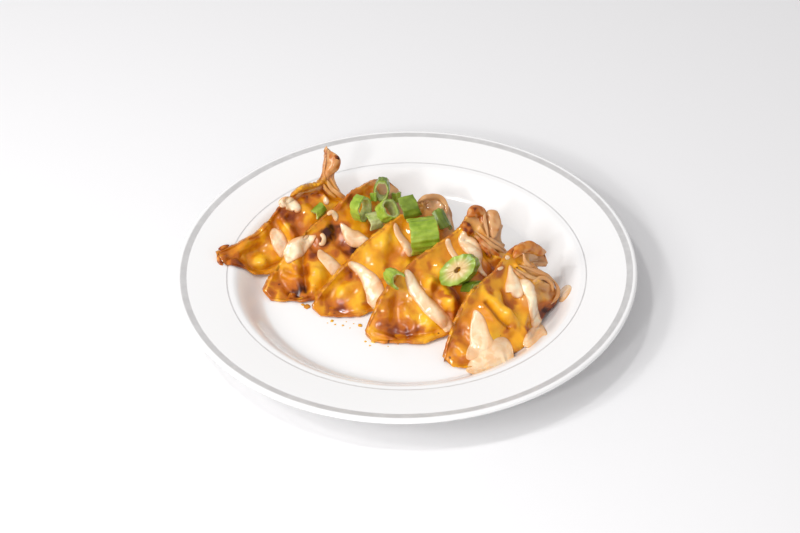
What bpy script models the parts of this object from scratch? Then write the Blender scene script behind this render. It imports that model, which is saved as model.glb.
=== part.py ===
"""A plate of five pan-fried gyoza, shingled in a row, with cut spring onion on top.

Metres, +Z up. The origin is the middle of the plate's foot, on the surface that it stands on.
+X runs along the row to the right, +Y away from the diner.
"""
import math

import bmesh
import bpy
from mathutils import Matrix, Vector
from mathutils.bvhtree import BVHTree

MM = 0.001

# ---- driving dimensions, in millimetres ----
PLATE_RADIUS = 95.0
FLOOR_RADIUS = 59.0
WALL_TOP_RADIUS = 73.0
FOOT_RADIUS = 57.0
FOOT_WIDTH = 4.0
FLOOR_HEIGHT = 3.0
WALL_TOP_HEIGHT = 12.6
RIM_HEIGHT = 16.4
PLATE_THICKNESS = 2.2
EDGE_RADIUS = 1.1
WALL_STEPS = 7
PLATE_STEPS = 64

TOUCH_GAP = 0.45
GYOZA_AROUND = 24
GYOZA_RINGS = 24
PLEAT_DEPTH = 0.9
CRISP_EDGE = 1.3
WING_SHARE = 0.42

ONION_WALL = 1.3
ONION_STEPS = 14
SETTLE_DIRECTION = (0.0, 0.77, -0.63)
DROP_STEP = 0.25
MOST_STEPS = 60

# Outline of one flank, from the sealed edge at the top to the middle of the fried base.
# Each pair is (share of the height, share of the half width).
BELLY_FLANK = [(1.0, 0.05), (0.87, 0.12), (0.67, 0.48), (0.38, 0.94), (0.12, 1.0), (0.0, 0.74), (0.0, 0.0)]
WING_FLANK = [(1.0, 0.10), (0.86, 0.16), (0.62, 0.24), (0.36, 0.48), (0.12, 0.92), (0.0, 0.76), (0.0, 0.0)]

# One entry per dumpling. "tip" is its front left corner on the plate (x, y) and "heading" the
# direction of its length in degrees. Along the length there are eight stations, from the tip to
# the twisted tail: "ridge" is the sealed edge (along, back, height), "base" the fried underside
# (along, height), "front" and "back" how far the base reaches to either side.
GYOZA = [
    dict(
        name="gyoza_1", tip=(-78.5, 7.6), heading=35, pleats=5,
        ridge=[(-0.5, 1, 16), (9, 1, 16.2), (22, 1.5, 17.4), (33, 4, 22.6), (45, 5.5, 26.6), (55, 5, 26),
               (58, 6, 31), (62, 9, 39.5)],
        base=[(0, 13), (8, 4), (20, 3.4), (34, 3.4), (50, 3.4), (66, 6), (61, 24), (65, 33)],
        front=[-6, -10, -11, -13, -13, -10, 1, 5],
        back=[1, 1, 3, 5, 6, 4, 7, 10],
    ),
    dict(
        name="gyoza_2", tip=(-59.8, -3.4), heading=35, pleats=6,
        ridge=[(0, 0, 5), (8, 2, 11), (18, 4, 17), (30, 6, 21.5), (41, 7, 24.5), (52, 8, 28.3),
               (62, 8.5, 29), (70, 8, 26)],
        base=[(0, 3.4), (10, 3.4), (22, 3.4), (36, 3.4), (50, 3.4), (66, 4), (72, 14), (74, 20)],
        front=[-6, -15, -18, -16, -15, -12, -2, 4],
        back=[0, 1, 2, 3, 4, 4, 7, 9],
    ),
    dict(
        name="gyoza_3", tip=(-39.2, -14.4), heading=35, pleats=6,
        ridge=[(0, 0, 5), (8, 2, 9.5), (19, 4, 14.5), (31, 6, 19.5), (42, 7, 22.5), (54, 7.5, 24.5),
               (63, 8, 26.5), (71, 8, 25)],
        base=[(0, 3.4), (10, 3.4), (22, 3.4), (36, 3.4), (50, 3.4), (66, 4), (72, 14), (74, 20)],
        front=[-6, -14, -19, -20, -19, -14, -2, 4],
        back=[0, 1, 2, 3, 4, 4, 7, 9],
    ),
    dict(
        name="gyoza_4", tip=(-17.2, -31.4), heading=35, pleats=6,
        ridge=[(0, 0, 5), (6, 2, 11.5), (15, 5, 18), (28, 7, 22.5), (42, 8.5, 24.5), (54, 9, 27),
               (61, 10, 31.5), (70, 8, 29)],
        base=[(0, 3.4), (9, 3.4), (20, 3.4), (34, 3.4), (50, 3.4), (68, 4), (70, 16), (74, 22)],
        front=[-5, -13, -20, -21, -20, -14, -2, 3],
        back=[0, 2, 4, 6, 7, 7, 9, 10],
    ),
    dict(
        name="gyoza_5", tip=(13.6, -48.2), heading=43, pleats=5,
        ridge=[(0, 0, 5), (6, 2, 13), (13, 4, 19), (22, 5, 25), (34, 6, 25.5), (43, 7, 29),
               (52, 7, 30), (63, 5, 22)],
        base=[(0, 3.4), (8, 3.4), (18, 3.4), (30, 3.4), (44, 3.4), (60, 7), (54, 19), (62, 17)],
        front=[-5, -13, -16, -15, -12.5, -9, 0, 1],
        back=[0, 2, 4, 6, 7, 7, 8, 7],
    ),
]

# Cut pieces of spring onion: a bent strip of the tube's wall, closed to a ring where arc is 360.
# "place" is the middle of the piece before it settles, "radius" and "length" are the tube's,
# "facing" the direction of the tube's axis (azimuth, elevation), "spin" turns the gap in an open
# piece, and "squash" flattens the tube.
ONIONS = [
    dict(place=(-37, 30, 20), radius=2.6, length=3.6, arc=170, facing=(60, 10), spin=-141, squash=0.8),
    dict(place=(-18.6, 24, 26), radius=5.9, length=4.8, arc=360, facing=(-40, 12), spin=0, squash=0.72),
    dict(place=(-9.8, 22.6, 20.8), radius=7.0, length=6.8, arc=66, facing=(28, -25), spin=50, squash=1.0),
    dict(place=(-9.6, 34.5, 27.5), radius=5.0, length=3.8, arc=360, facing=(-96, 8), spin=0, squash=0.66),
    dict(place=(-7.5, 26.5, 22), radius=4.7, length=5.0, arc=360, facing=(-25, 50), spin=0, squash=0.9),
    dict(place=(-3.5, 36, 22.5), radius=2.3, length=4.4, arc=180, facing=(90, 70), spin=180, squash=0.9),
    dict(place=(-13.2, 32.5, 25), radius=1.5, length=3.6, arc=170, facing=(100, 60), spin=180, squash=1.0),
    dict(place=(1.0, 33, 19), radius=8.0, length=6.8, arc=62, facing=(15, 5), spin=-125, squash=1.0),
    dict(place=(7.2, 10.5, 21), radius=8.4, length=11.0, arc=180, facing=(5, 4), spin=-127, squash=0.9),
    dict(place=(14.0, 20.5, 19.6), radius=4.5, length=8.0, arc=120, facing=(-60, -30), spin=150, squash=0.8),
    dict(place=(21.5, -11.5, 20), radius=4.6, length=3.4, arc=360, facing=(-120, 40), spin=50, squash=1.75,
         wall=2.9),
    dict(place=(26.5, -14.5, 17), radius=3.6, length=4.4, arc=200, facing=(-70, 60), spin=150, squash=0.8),
    dict(place=(-4.9, -17.6, 21), radius=3.4, length=3.8, arc=235, facing=(-60, 25), spin=215, squash=0.9),
]

COLOURS = {
    "plate": ((0.86, 0.86, 0.86, 1.0), 0.22),
    "dough": ((0.72, 0.36, 0.07, 1.0), 0.28),
    "spring_onion": ((0.24, 0.50, 0.06, 1.0), 0.35),
}


def clear_scene():
    for thing in list(bpy.data.objects):
        bpy.data.objects.remove(thing)


def make_material(name):
    colour, roughness = COLOURS[name]
    material = bpy.data.materials.new(name)
    material.use_nodes = True
    shader = material.node_tree.nodes["Principled BSDF"]
    shader.inputs["Base Color"].default_value = colour
    shader.inputs["Roughness"].default_value = roughness
    shader.inputs["Metallic"].default_value = 0.0
    return material


def add_object(name, mesh, material, collection):
    thing = bpy.data.objects.new(name, mesh)
    collection.objects.link(thing)
    mesh.materials.append(material)
    return thing


def curve_at(points, place):
    """A smooth curve through the points, read at a place from 0 to the last point's number."""
    last = len(points) - 1
    place = min(max(place, 0.0), last - 1e-6)
    start = int(place)
    share = place - start

    def point(number):
        if number < 0:
            return [2 * a - b for a, b in zip(points[0], points[1])]
        if number > last:
            return [2 * a - b for a, b in zip(points[last], points[last - 1])]
        return points[number]

    corners = [point(start + step) for step in (-1, 0, 1, 2)]
    result = []
    for before, here, there, after in zip(*corners):
        slope = there - before
        bend = 2 * before - 5 * here + 4 * there - after
        twist = 3 * here - before - 3 * there + after
        result.append(0.5 * (2 * here + slope * share + bend * share ** 2 + twist * share ** 3))
    return result


# ---- the plate ----

def arc(centre, radius, start, end, steps):
    """Points of an arc in the profile plane, angles in degrees."""
    points = []
    for step in range(steps + 1):
        angle = math.radians(start + (end - start) * step / steps)
        points.append((centre[0] + radius * math.cos(angle), centre[1] + radius * math.sin(angle)))
    return points


def plate_top():
    """Upper side of the plate from its middle to its edge: flat floor, curved wall, sloping rim."""
    wall = []
    for step in range(WALL_STEPS + 1):
        share = step / WALL_STEPS
        radius = FLOOR_RADIUS + (WALL_TOP_RADIUS - FLOOR_RADIUS) * share
        rise = share * share * (3 - 2 * share)
        wall.append((radius, FLOOR_HEIGHT + (WALL_TOP_HEIGHT - FLOOR_HEIGHT) * rise))
    floor = [(0.0, FLOOR_HEIGHT), (FLOOR_RADIUS / 2, FLOOR_HEIGHT)]
    return floor + wall + [(PLATE_RADIUS - EDGE_RADIUS, RIM_HEIGHT)]


def plate_height(radius):
    """Height of the plate's upper side at a radius, in millimetres."""
    top = plate_top()
    for (inner, low), (outer, high) in zip(top, top[1:]):
        if radius <= outer:
            return low + (high - low) * max(0.0, radius - inner) / (outer - inner)
    return top[-1][1]


def plate_profile():
    """The whole outline: upper side, rounded edge, underside and foot ring."""
    edge = arc((PLATE_RADIUS - EDGE_RADIUS, RIM_HEIGHT - EDGE_RADIUS), EDGE_RADIUS, 60, -60, 4)
    under_rim = (PLATE_RADIUS - 3 * EDGE_RADIUS, RIM_HEIGHT - PLATE_THICKNESS - EDGE_RADIUS / 2)
    under_wall_top = (WALL_TOP_RADIUS + 1.5, WALL_TOP_HEIGHT - PLATE_THICKNESS)
    under_wall = (WALL_TOP_RADIUS - 4.0, WALL_TOP_HEIGHT - 2.4 * PLATE_THICKNESS)
    foot_outer = (FOOT_RADIUS + FOOT_WIDTH / 2, 0.0)
    foot_inner = (FOOT_RADIUS - FOOT_WIDTH / 2, 0.0)
    recess = FLOOR_HEIGHT - PLATE_THICKNESS
    under = [under_rim, under_wall_top, under_wall, foot_outer, foot_inner,
             (foot_inner[0] - 1.0, recess), (0.0, recess)]
    return plate_top() + edge + under


def make_plate(material, collection):
    outline = plate_profile()
    mesh = bpy.data.meshes.new("plate")
    points = [(radius * MM, 0.0, height * MM) for radius, height in outline]
    mesh.from_pydata(points, [(i, i + 1) for i in range(len(points) - 1)], [])
    plate = add_object("plate", mesh, material, collection)
    screw = plate.modifiers.new("turn", "SCREW")
    screw.axis = "Z"
    screw.steps = PLATE_STEPS
    screw.render_steps = PLATE_STEPS
    screw.use_merge_vertices = True
    screw.merge_threshold = 0.0001
    screw.use_smooth_shade = True
    weld = plate.modifiers.new("close", "WELD")
    weld.merge_threshold = 0.00005
    return plate


# ---- the dumplings ----

def flank_point(wing, turn):
    """Height share, width share and side of a point on the outline of a section."""
    side = 1.0
    if turn > 1.0:
        turn = 2.0 - turn
        side = -1.0
    place = turn * (len(BELLY_FLANK) - 1)
    belly = curve_at(BELLY_FLANK, place)
    flat = curve_at(WING_FLANK, place)
    height, width = [b + (f - b) * wing for b, f in zip(belly, flat)]
    return height, width, side


def pleat_wave(spec, length_share, height_share, side):
    """Folds pressed into the back of the wrapper, deepest near the sealed edge."""
    if side > 0:
        return 0.0
    fade = max(0.0, math.sin(math.pi * length_share)) ** 0.5
    wave = math.sin(2 * math.pi * spec["pleats"] * length_share + 3.0 * height_share)
    return PLEAT_DEPTH * wave * fade * max(0.0, math.sin(math.pi * height_share)) ** 0.7


def gyoza_point(spec, length_share, turn):
    """Place on the skin: length_share runs from tip to tail, turn from the ridge over the front."""
    place = length_share * (len(spec["ridge"]) - 1)
    ridge = curve_at(spec["ridge"], place)
    base = curve_at(spec["base"], place)
    front, = curve_at([(f,) for f in spec["front"]], place)
    back, = curve_at([(b,) for b in spec["back"]], place)
    wing = max(0.0, 1.0 - length_share / WING_SHARE)
    height, width, side = flank_point(wing, turn)
    middle = (front + back) / 2
    half = (back - front) / 2 + pleat_wave(spec, length_share, height, side)
    if height > 0.5:
        width = max(width, CRISP_EDGE / 2 / half)
    along = base[0] + (ridge[0] - base[0]) * height
    across = middle + (ridge[1] - middle) * height - side * half * width
    heading = math.radians(spec["heading"])
    x = spec["tip"][0] + along * math.cos(heading) - across * math.sin(heading)
    y = spec["tip"][1] + along * math.sin(heading) + across * math.cos(heading)
    seat = max(base[1], plate_height(math.hypot(x, y)) + TOUCH_GAP)
    rise = seat + (ridge[2] - seat) * height
    return Vector((x, y, rise)) * MM


def make_gyoza(spec):
    """A ball whose poles are the tip and the tail, drawn out to the dumpling's sections."""
    skin = bmesh.new()
    bmesh.ops.create_uvsphere(skin, u_segments=GYOZA_AROUND, v_segments=GYOZA_RINGS, radius=1.0)
    for vert in skin.verts:
        x, y, z = vert.co
        length_share = 1.0 - math.acos(max(-1.0, min(1.0, z))) / math.pi
        turn = (math.atan2(y, x) / math.pi + 1.0 / GYOZA_AROUND) % 2.0
        vert.co = gyoza_point(spec, length_share, turn)
    return skin


# ---- the spring onion ----

def make_onion(spec):
    """A strip of tube wall, bent round its axis, squashed, and turned to face its direction."""
    piece = bmesh.new()
    radius = spec["radius"] * MM
    length = spec["length"] * MM
    if spec["arc"] == 360:
        bmesh.ops.create_cone(piece, cap_ends=False, segments=ONION_STEPS, radius1=radius, radius2=radius,
                              depth=length)
    else:
        bmesh.ops.create_grid(piece, x_segments=ONION_STEPS * spec["arc"] // 360 + 2, y_segments=1, size=1.0)
        for vert in piece.verts:
            angle = math.radians(spec["arc"] / 2 * vert.co.x)
            vert.co = Vector((radius * math.cos(angle), radius * math.sin(angle), length / 2 * vert.co.y))
    piece.normal_update()
    bmesh.ops.solidify(piece, geom=piece.faces[:], thickness=spec.get("wall", ONION_WALL) * MM)
    azimuth, elevation = [math.radians(angle) for angle in spec["facing"]]
    squash = Matrix.Diagonal((1.0, spec["squash"], 1.0, 1.0))
    spin = Matrix.Rotation(math.radians(spec["spin"]), 4, "Z")
    tilt = Matrix.Rotation(math.pi / 2 - elevation, 4, "Y")
    turn = Matrix.Rotation(azimuth, 4, "Z")
    place = Matrix.Translation(Vector(spec["place"]) * MM)
    bmesh.ops.transform(piece, matrix=place @ turn @ tilt @ spin @ squash, verts=piece.verts)
    return piece


def settle(piece, obstacles):
    """Slide a piece back against the leaning flanks until it rests there with a small gap."""
    trees = [BVHTree.FromBMesh(obstacle) for obstacle in obstacles]

    def slide(distance):
        bmesh.ops.translate(piece, vec=Vector(SETTLE_DIRECTION).normalized() * distance * MM, verts=piece.verts)

    def touches():
        own = BVHTree.FromBMesh(piece)
        return any(own.overlap(tree) for tree in trees)

    while touches():
        slide(-DROP_STEP)
    for step in range(MOST_STEPS):
        slide(DROP_STEP)
        if touches():
            break
    slide(-DROP_STEP - TOUCH_GAP)


def finish_mesh(name, skin, material, collection):
    mesh = bpy.data.meshes.new(name)
    skin.to_mesh(mesh)
    mesh.shade_smooth()
    return add_object(name, mesh, material, collection)


def main():
    clear_scene()
    collection = bpy.data.collections.new("gyoza_plate")
    bpy.context.scene.collection.children.link(collection)
    make_plate(make_material("plate"), collection)
    dough = make_material("dough")
    placed = []
    for spec in GYOZA:
        skin = make_gyoza(spec)
        finish_mesh(spec["name"], skin, dough, collection)
        placed.append(skin)
    green = make_material("spring_onion")
    for number, spec in enumerate(ONIONS, start=1):
        piece = make_onion(spec)
        settle(piece, placed)
        finish_mesh(f"spring_onion_{number}", piece, green, collection)
        placed.append(piece)


main()
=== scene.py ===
import math

import bmesh
import bpy
import numpy as np
from mathutils import Matrix, Vector, noise
from mathutils.bvhtree import BVHTree


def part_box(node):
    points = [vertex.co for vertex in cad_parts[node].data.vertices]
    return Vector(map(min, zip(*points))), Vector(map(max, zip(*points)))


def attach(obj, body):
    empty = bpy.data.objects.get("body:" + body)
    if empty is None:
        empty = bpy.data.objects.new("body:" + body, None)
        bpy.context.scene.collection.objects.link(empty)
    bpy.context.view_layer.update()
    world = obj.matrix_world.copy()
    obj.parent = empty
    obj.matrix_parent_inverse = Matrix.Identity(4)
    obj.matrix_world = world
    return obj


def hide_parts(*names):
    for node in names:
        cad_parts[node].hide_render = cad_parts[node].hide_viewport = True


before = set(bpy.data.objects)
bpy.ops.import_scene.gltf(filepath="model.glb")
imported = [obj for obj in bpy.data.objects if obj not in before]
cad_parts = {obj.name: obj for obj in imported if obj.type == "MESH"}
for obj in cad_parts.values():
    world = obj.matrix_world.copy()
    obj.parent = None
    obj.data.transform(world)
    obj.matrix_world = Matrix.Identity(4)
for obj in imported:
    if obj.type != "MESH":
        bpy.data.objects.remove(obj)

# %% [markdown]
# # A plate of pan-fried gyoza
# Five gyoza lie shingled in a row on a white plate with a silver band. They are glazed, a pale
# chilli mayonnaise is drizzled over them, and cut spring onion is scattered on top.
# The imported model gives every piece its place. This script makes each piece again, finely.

MM = 0.001
noise.seed_set(7)  # noise_vector draws its offsets from this, so every run gives the same shapes
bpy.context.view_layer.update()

# %% [markdown]
# ## Node materials
# Every finish is a small node graph: a Principled shader whose colour, roughness and bump come
# from noise in object coordinates and from attributes stored on the mesh. A helper adds a node,
# sets its values and links its inputs, so that each graph reads as a short recipe.

# %% Helpers for node materials
def new_material(name, **finish):
    """A Principled material; finish sets the shader's own sockets, such as roughness=0.3."""
    material = bpy.data.materials.new(name)
    material.use_nodes = True
    shader = material.node_tree.nodes["Principled BSDF"]
    for socket, value in finish.items():
        shader.inputs[socket.replace("_", " ").title().replace("Ior", "IOR")].default_value = value
    return material, shader


def add_node(material, kind, inputs=None, **settings):
    """Adds a node. Inputs are numbers, colours, or sockets of other nodes."""
    node = material.node_tree.nodes.new("ShaderNode" + kind)
    for key, value in settings.items():
        setattr(node, key, value)
    for key, value in (inputs or {}).items():
        if isinstance(value, bpy.types.NodeSocket):
            material.node_tree.links.new(value, node.inputs[key])
        else:
            node.inputs[key].default_value = value
    return node


def place_on(material):
    return add_node(material, "TexCoord").outputs["Object"]


def grain(material, size, detail=2.0, roughness=0.5, warp=0.0):
    """Noise whose patches are about size metres across."""
    noise_node = add_node(material, "TexNoise", {"Vector": place_on(material), "Scale": 1.0 / size,
                                                 "Detail": detail, "Roughness": roughness,
                                                 "Distortion": warp})
    return noise_node.outputs["Fac"]


def attribute(material, name):
    return add_node(material, "Attribute", attribute_name=name).outputs["Fac"]


def ramp(material, value, low, high, start=0.0, end=1.0):
    """Maps low..high to start..end, smoothly and without going past either."""
    node = add_node(material, "MapRange", {"Value": value, "From Min": low, "From Max": high,
                                           "To Min": start, "To Max": end},
                    interpolation_type="SMOOTHSTEP", clamp=True)
    return node.outputs["Result"]


def maths(material, operation, first, second):
    return add_node(material, "Math", {0: first, 1: second}, operation=operation).outputs[0]


def blend_colour(material, amount, first, second):
    node = add_node(material, "Mix", {0: amount, 6: first, 7: second}, data_type="RGBA")
    return node.outputs[2]


def bump(material, heights, shader):
    """Stacks bumps; heights is a list of (height socket, strength, distance in metres)."""
    normal = None
    for height, strength, distance in heights:
        inputs = {"Height": height, "Strength": strength, "Distance": distance}
        if normal is not None:
            inputs["Normal"] = normal
        normal = add_node(material, "Bump", inputs).outputs["Normal"]
    material.node_tree.links.new(normal, shader.inputs["Normal"])


def paint(material, shader, **sockets):
    """Links node outputs to the shader's colour and roughness."""
    for socket, value in sockets.items():
        name = {"colour": "Base Color", "roughness": "Roughness"}[socket]
        material.node_tree.links.new(value, shader.inputs[name])

# %% [markdown]
# ## Getting a mesh into the scene
# A bmesh becomes an object at the origin, with its place in its vertices. It rides on the one
# body, and the imported node it stands for is hidden.

# %% Helpers for pieces
def show(name, mesh_data, materials, node=None):
    """Makes the object, hangs it on the body, hides the imported node it stands for, and prints how big it
    is.
    """
    mesh = bpy.data.meshes.new(name)
    mesh_data.to_mesh(mesh)
    mesh.shade_smooth()
    piece = bpy.data.objects.new(name, mesh)
    bpy.context.scene.collection.objects.link(piece)
    for material in materials:
        mesh.materials.append(material)
    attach(piece, "root")
    if node:
        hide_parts(node)
    triangles = sum(len(face.verts) - 2 for face in mesh_data.faces)
    print(f"{name}: {triangles} triangles")


def curve_at(points, place):
    """A smooth curve through the points (rows), read at places from 0 to the last row's number."""
    points = np.array(points, float)
    if points.ndim == 1:
        points = points[:, None]
    padded = np.vstack([2 * points[0] - points[1], points, 2 * points[-1] - points[-2]])
    place = np.clip(np.asarray(place, float), 0.0, len(points) - 1 - 1e-6)
    start = place.astype(int)
    share = (place - start)[..., None]
    before, here, there, after = (padded[start + step] for step in range(4))
    slope = there - before
    bend = 2 * before - 5 * here + 4 * there - after
    twist = 3 * here - before - 3 * there + after
    return 0.5 * (2 * here + slope * share + bend * share ** 2 + twist * share ** 3)


def smoothstep(low, high, value):
    share = np.clip((value - low) / (high - low), 0.0, 1.0)
    return share * share * (3 - 2 * share)


def noise_at(points, size, seed=0.0):
    """Smooth noise from -1 to 1 at points in mm, with patches about size mm across."""
    shift = Vector((seed, 1.7 * seed, -seed))
    return np.array([noise.noise(Vector(point) / size + shift) for point in points])

# %% [markdown]
# ## The plate
# A light round plate: flat floor, curved wall, gently rising rim, a foot ring underneath. A thin
# silver line runs where the rim starts and a broader silver band near the edge. The whole body is
# one outline spun round the middle. The outline has points exactly at the edges of the line and the
# band, so the silver is a set of faces of its own and keeps a crisp edge.

# %% The plate's outline
PLATE_RADIUS = 95.0
FLOOR_RADIUS = 59.0
WALL_TOP_RADIUS = 73.0
FOOT_RADIUS = 57.0
FOOT_WIDTH = 4.0
FLOOR_HEIGHT = 3.0
WALL_TOP_HEIGHT = 12.6
RIM_HEIGHT = 16.4
PLATE_THICKNESS = 2.2
EDGE_RADIUS = 1.1
SILVER = [(74.1, 74.62), (90.6, 93.2)]
WALL_STEPS = 22
EDGE_STEPS = 10
SPIN_STEPS = 256


def plate_height(radius):
    """Height of the plate's upper side at a radius (or an array of them), in mm."""
    share = np.clip((radius - FLOOR_RADIUS) / (WALL_TOP_RADIUS - FLOOR_RADIUS), 0.0, 1.0)
    wall = FLOOR_HEIGHT + (WALL_TOP_HEIGHT - FLOOR_HEIGHT) * share * share * (3 - 2 * share)
    rim_end = PLATE_RADIUS - EDGE_RADIUS
    slope = (RIM_HEIGHT - WALL_TOP_HEIGHT) / (rim_end - WALL_TOP_RADIUS)
    return wall + slope * np.clip(radius - WALL_TOP_RADIUS, 0.0, rim_end - WALL_TOP_RADIUS)


def plate_outline():
    """(radius, height) in mm, from the middle over the top and the edge to the foot and back."""
    radii = sorted({0.0, 20.0, 40.0, 52.0, 57.0,
                    *np.linspace(FLOOR_RADIUS, WALL_TOP_RADIUS, WALL_STEPS), 80.0, 86.0,
                    PLATE_RADIUS - EDGE_RADIUS, *(edge for line in SILVER for edge in line)})
    outline = [(radius, float(plate_height(radius))) for radius in radii]
    for step in range(1, EDGE_STEPS):
        angle = math.pi / 2 - math.pi * step / EDGE_STEPS
        outline.append((PLATE_RADIUS - EDGE_RADIUS + EDGE_RADIUS * math.cos(angle),
                        RIM_HEIGHT - EDGE_RADIUS + EDGE_RADIUS * math.sin(angle)))
    inner_foot = FOOT_RADIUS - FOOT_WIDTH / 2
    recess = FLOOR_HEIGHT - PLATE_THICKNESS
    outline += [(PLATE_RADIUS - 3 * EDGE_RADIUS, RIM_HEIGHT - PLATE_THICKNESS - EDGE_RADIUS / 2),
                (WALL_TOP_RADIUS + 1.5, WALL_TOP_HEIGHT - PLATE_THICKNESS),
                (WALL_TOP_RADIUS - 4.0, WALL_TOP_HEIGHT - 2.4 * PLATE_THICKNESS),
                (FOOT_RADIUS + FOOT_WIDTH / 2 + 0.3, 0.6), (FOOT_RADIUS + FOOT_WIDTH / 2, 0.0),
                (inner_foot, 0.0), (inner_foot - 1.0, recess), (0.0, recess)]
    return outline

# %% [markdown]
# The plastic is white and glossy, with a touch of unevenness in its gloss so that reflections are
# not perfect. The silver is a foil: metallic, light grey, softly brushed by wear.

# %% Plate and silver finishes
white_plastic, shader = new_material("white_plastic", base_color=(0.86, 0.855, 0.85, 1), ior=1.5,
                                     coat_weight=0.35, coat_roughness=0.06)
paint(white_plastic, shader,
      roughness=ramp(white_plastic, grain(white_plastic, 0.03, 4), 0.3, 0.7, 0.16, 0.24))
bump(white_plastic, [(grain(white_plastic, 0.04, 1), 0.10, 0.0006)], shader)

silver_foil, shader = new_material("silver_foil", metallic=0.75)
paint(silver_foil, shader,
      colour=blend_colour(silver_foil, ramp(silver_foil, grain(silver_foil, 0.006, 5), 0.35, 0.7),
                          (0.82, 0.81, 0.80, 1), (0.90, 0.89, 0.88, 1)),
      roughness=ramp(silver_foil, grain(silver_foil, 0.002, 4), 0.3, 0.7, 0.3, 0.5))

# %% [markdown]
# A plate is pressed or moulded round an axis, so spinning the outline makes it in one go. The faces
# that lie between the edges of the line or the band are then given the foil.

# %% Spin the outline into the plate
def make_plate():
    plate = bmesh.new()
    verts = [plate.verts.new((radius * MM, 0.0, height * MM)) for radius, height in plate_outline()]
    edges = [plate.edges.new(pair) for pair in zip(verts, verts[1:])]
    bmesh.ops.spin(plate, geom=verts + edges, cent=(0, 0, 0), axis=(0, 0, 1), angle=math.tau,
                   steps=SPIN_STEPS, use_merge=True)
    bmesh.ops.remove_doubles(plate, verts=plate.verts, dist=0.01 * MM)
    bmesh.ops.recalc_face_normals(plate, faces=plate.faces)
    for face in plate.faces:
        middle = face.calc_center_median()
        radius = middle.xy.length / MM
        if middle.z > FLOOR_HEIGHT * MM and any(low < radius < high for low, high in SILVER):
            face.material_index = 1
    return plate


plate = make_plate()
show("fine_plate", plate, [white_plastic, silver_foil], "plate")

# %% [markdown]
# ## The shape of a gyoza
# A gyoza is a round wrapper folded over filling and sealed along one edge. Fried and plated it
# leans on its neighbour: one thin wing end flat towards the diner, a full belly in the middle and
# a twisted tail at the back. Its shape is a set of stations along its length, each with the height
# of the seal, the base and how far the base reaches. A ball is drawn out over the stations, with
# its poles at tip and tail, so the skin stays closed whatever is added later.

# %% Stations of the five gyoza
TOUCH_GAP = 0.45
PLEAT_DEPTH = 0.9
CRISP_EDGE = 1.3
WING_SHARE = 0.42
BELLY_FLANK = [(1.0, 0.05), (0.87, 0.12), (0.67, 0.48), (0.38, 0.94), (0.12, 1.0), (0.0, 0.74), (0.0, 0.0)]
WING_FLANK = [(1.0, 0.10), (0.86, 0.16), (0.62, 0.24), (0.36, 0.48), (0.12, 0.92), (0.0, 0.76), (0.0, 0.0)]
GYOZA = [
    dict(
        name="gyoza_1", tip=(-78.5, 7.6), heading=35, pleats=5,
        ridge=[(-0.5, 1, 16), (9, 1, 16.2), (22, 1.5, 17.4), (33, 4, 22.6), (45, 5.5, 26.6), (55, 5, 26),
               (58, 6, 31), (62, 9, 39.5)],
        base=[(0, 13), (8, 4), (20, 3.4), (34, 3.4), (50, 3.4), (66, 6), (61, 24), (65, 33)],
        front=[-6, -10, -11, -13, -13, -10, 1, 5],
        back=[1, 1, 3, 5, 6, 4, 7, 10],
    ),
    dict(
        name="gyoza_2", tip=(-59.8, -3.4), heading=35, pleats=6,
        ridge=[(0, 0, 5), (8, 2, 11), (18, 4, 17), (30, 6, 21.5), (41, 7, 24.5), (52, 8, 28.3),
               (62, 8.5, 29), (70, 8, 26)],
        base=[(0, 3.4), (10, 3.4), (22, 3.4), (36, 3.4), (50, 3.4), (66, 4), (72, 14), (74, 20)],
        front=[-6, -15, -18, -16, -15, -12, -2, 4],
        back=[0, 1, 2, 3, 4, 4, 7, 9],
    ),
    dict(
        name="gyoza_3", tip=(-39.2, -14.4), heading=35, pleats=6,
        ridge=[(0, 0, 5), (8, 2, 9.5), (19, 4, 14.5), (31, 6, 19.5), (42, 7, 22.5), (54, 7.5, 24.5),
               (63, 8, 26.5), (71, 8, 25)],
        base=[(0, 3.4), (10, 3.4), (22, 3.4), (36, 3.4), (50, 3.4), (66, 4), (72, 14), (74, 20)],
        front=[-6, -14, -19, -20, -19, -14, -2, 4],
        back=[0, 1, 2, 3, 4, 4, 7, 9],
    ),
    dict(
        name="gyoza_4", tip=(-17.2, -31.4), heading=35, pleats=6,
        ridge=[(0, 0, 5), (6, 2, 11.5), (15, 5, 18), (28, 7, 22.5), (42, 8.5, 24.5), (54, 9, 27),
               (61, 10, 31.5), (70, 8, 29)],
        base=[(0, 3.4), (9, 3.4), (20, 3.4), (34, 3.4), (50, 3.4), (68, 4), (70, 16), (74, 22)],
        front=[-5, -13, -20, -21, -20, -14, -2, 3],
        back=[0, 2, 4, 6, 7, 7, 9, 10],
    ),
    dict(
        name="gyoza_5", tip=(13.6, -48.2), heading=43, pleats=5,
        ridge=[(0, 0, 5), (6, 2, 13), (13, 4, 19), (22, 5, 25), (34, 6, 25.5), (43, 7, 29),
               (52, 7, 30), (63, 5, 22)],
        base=[(0, 3.4), (8, 3.4), (18, 3.4), (30, 3.4), (44, 3.4), (60, 7), (54, 19), (62, 17)],
        front=[-5, -13, -16, -15, -12.5, -9, 0, 1],
        back=[0, 2, 4, 6, 7, 7, 8, 7],
    ),
]

# %% [markdown]
# A place on the skin is read from the stations: how far along, then how far round. The flank curve
# says how wide the section is at each height, slim at the wing and bulging at the belly, and the
# back of the section is gathered in soft pleats.

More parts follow.
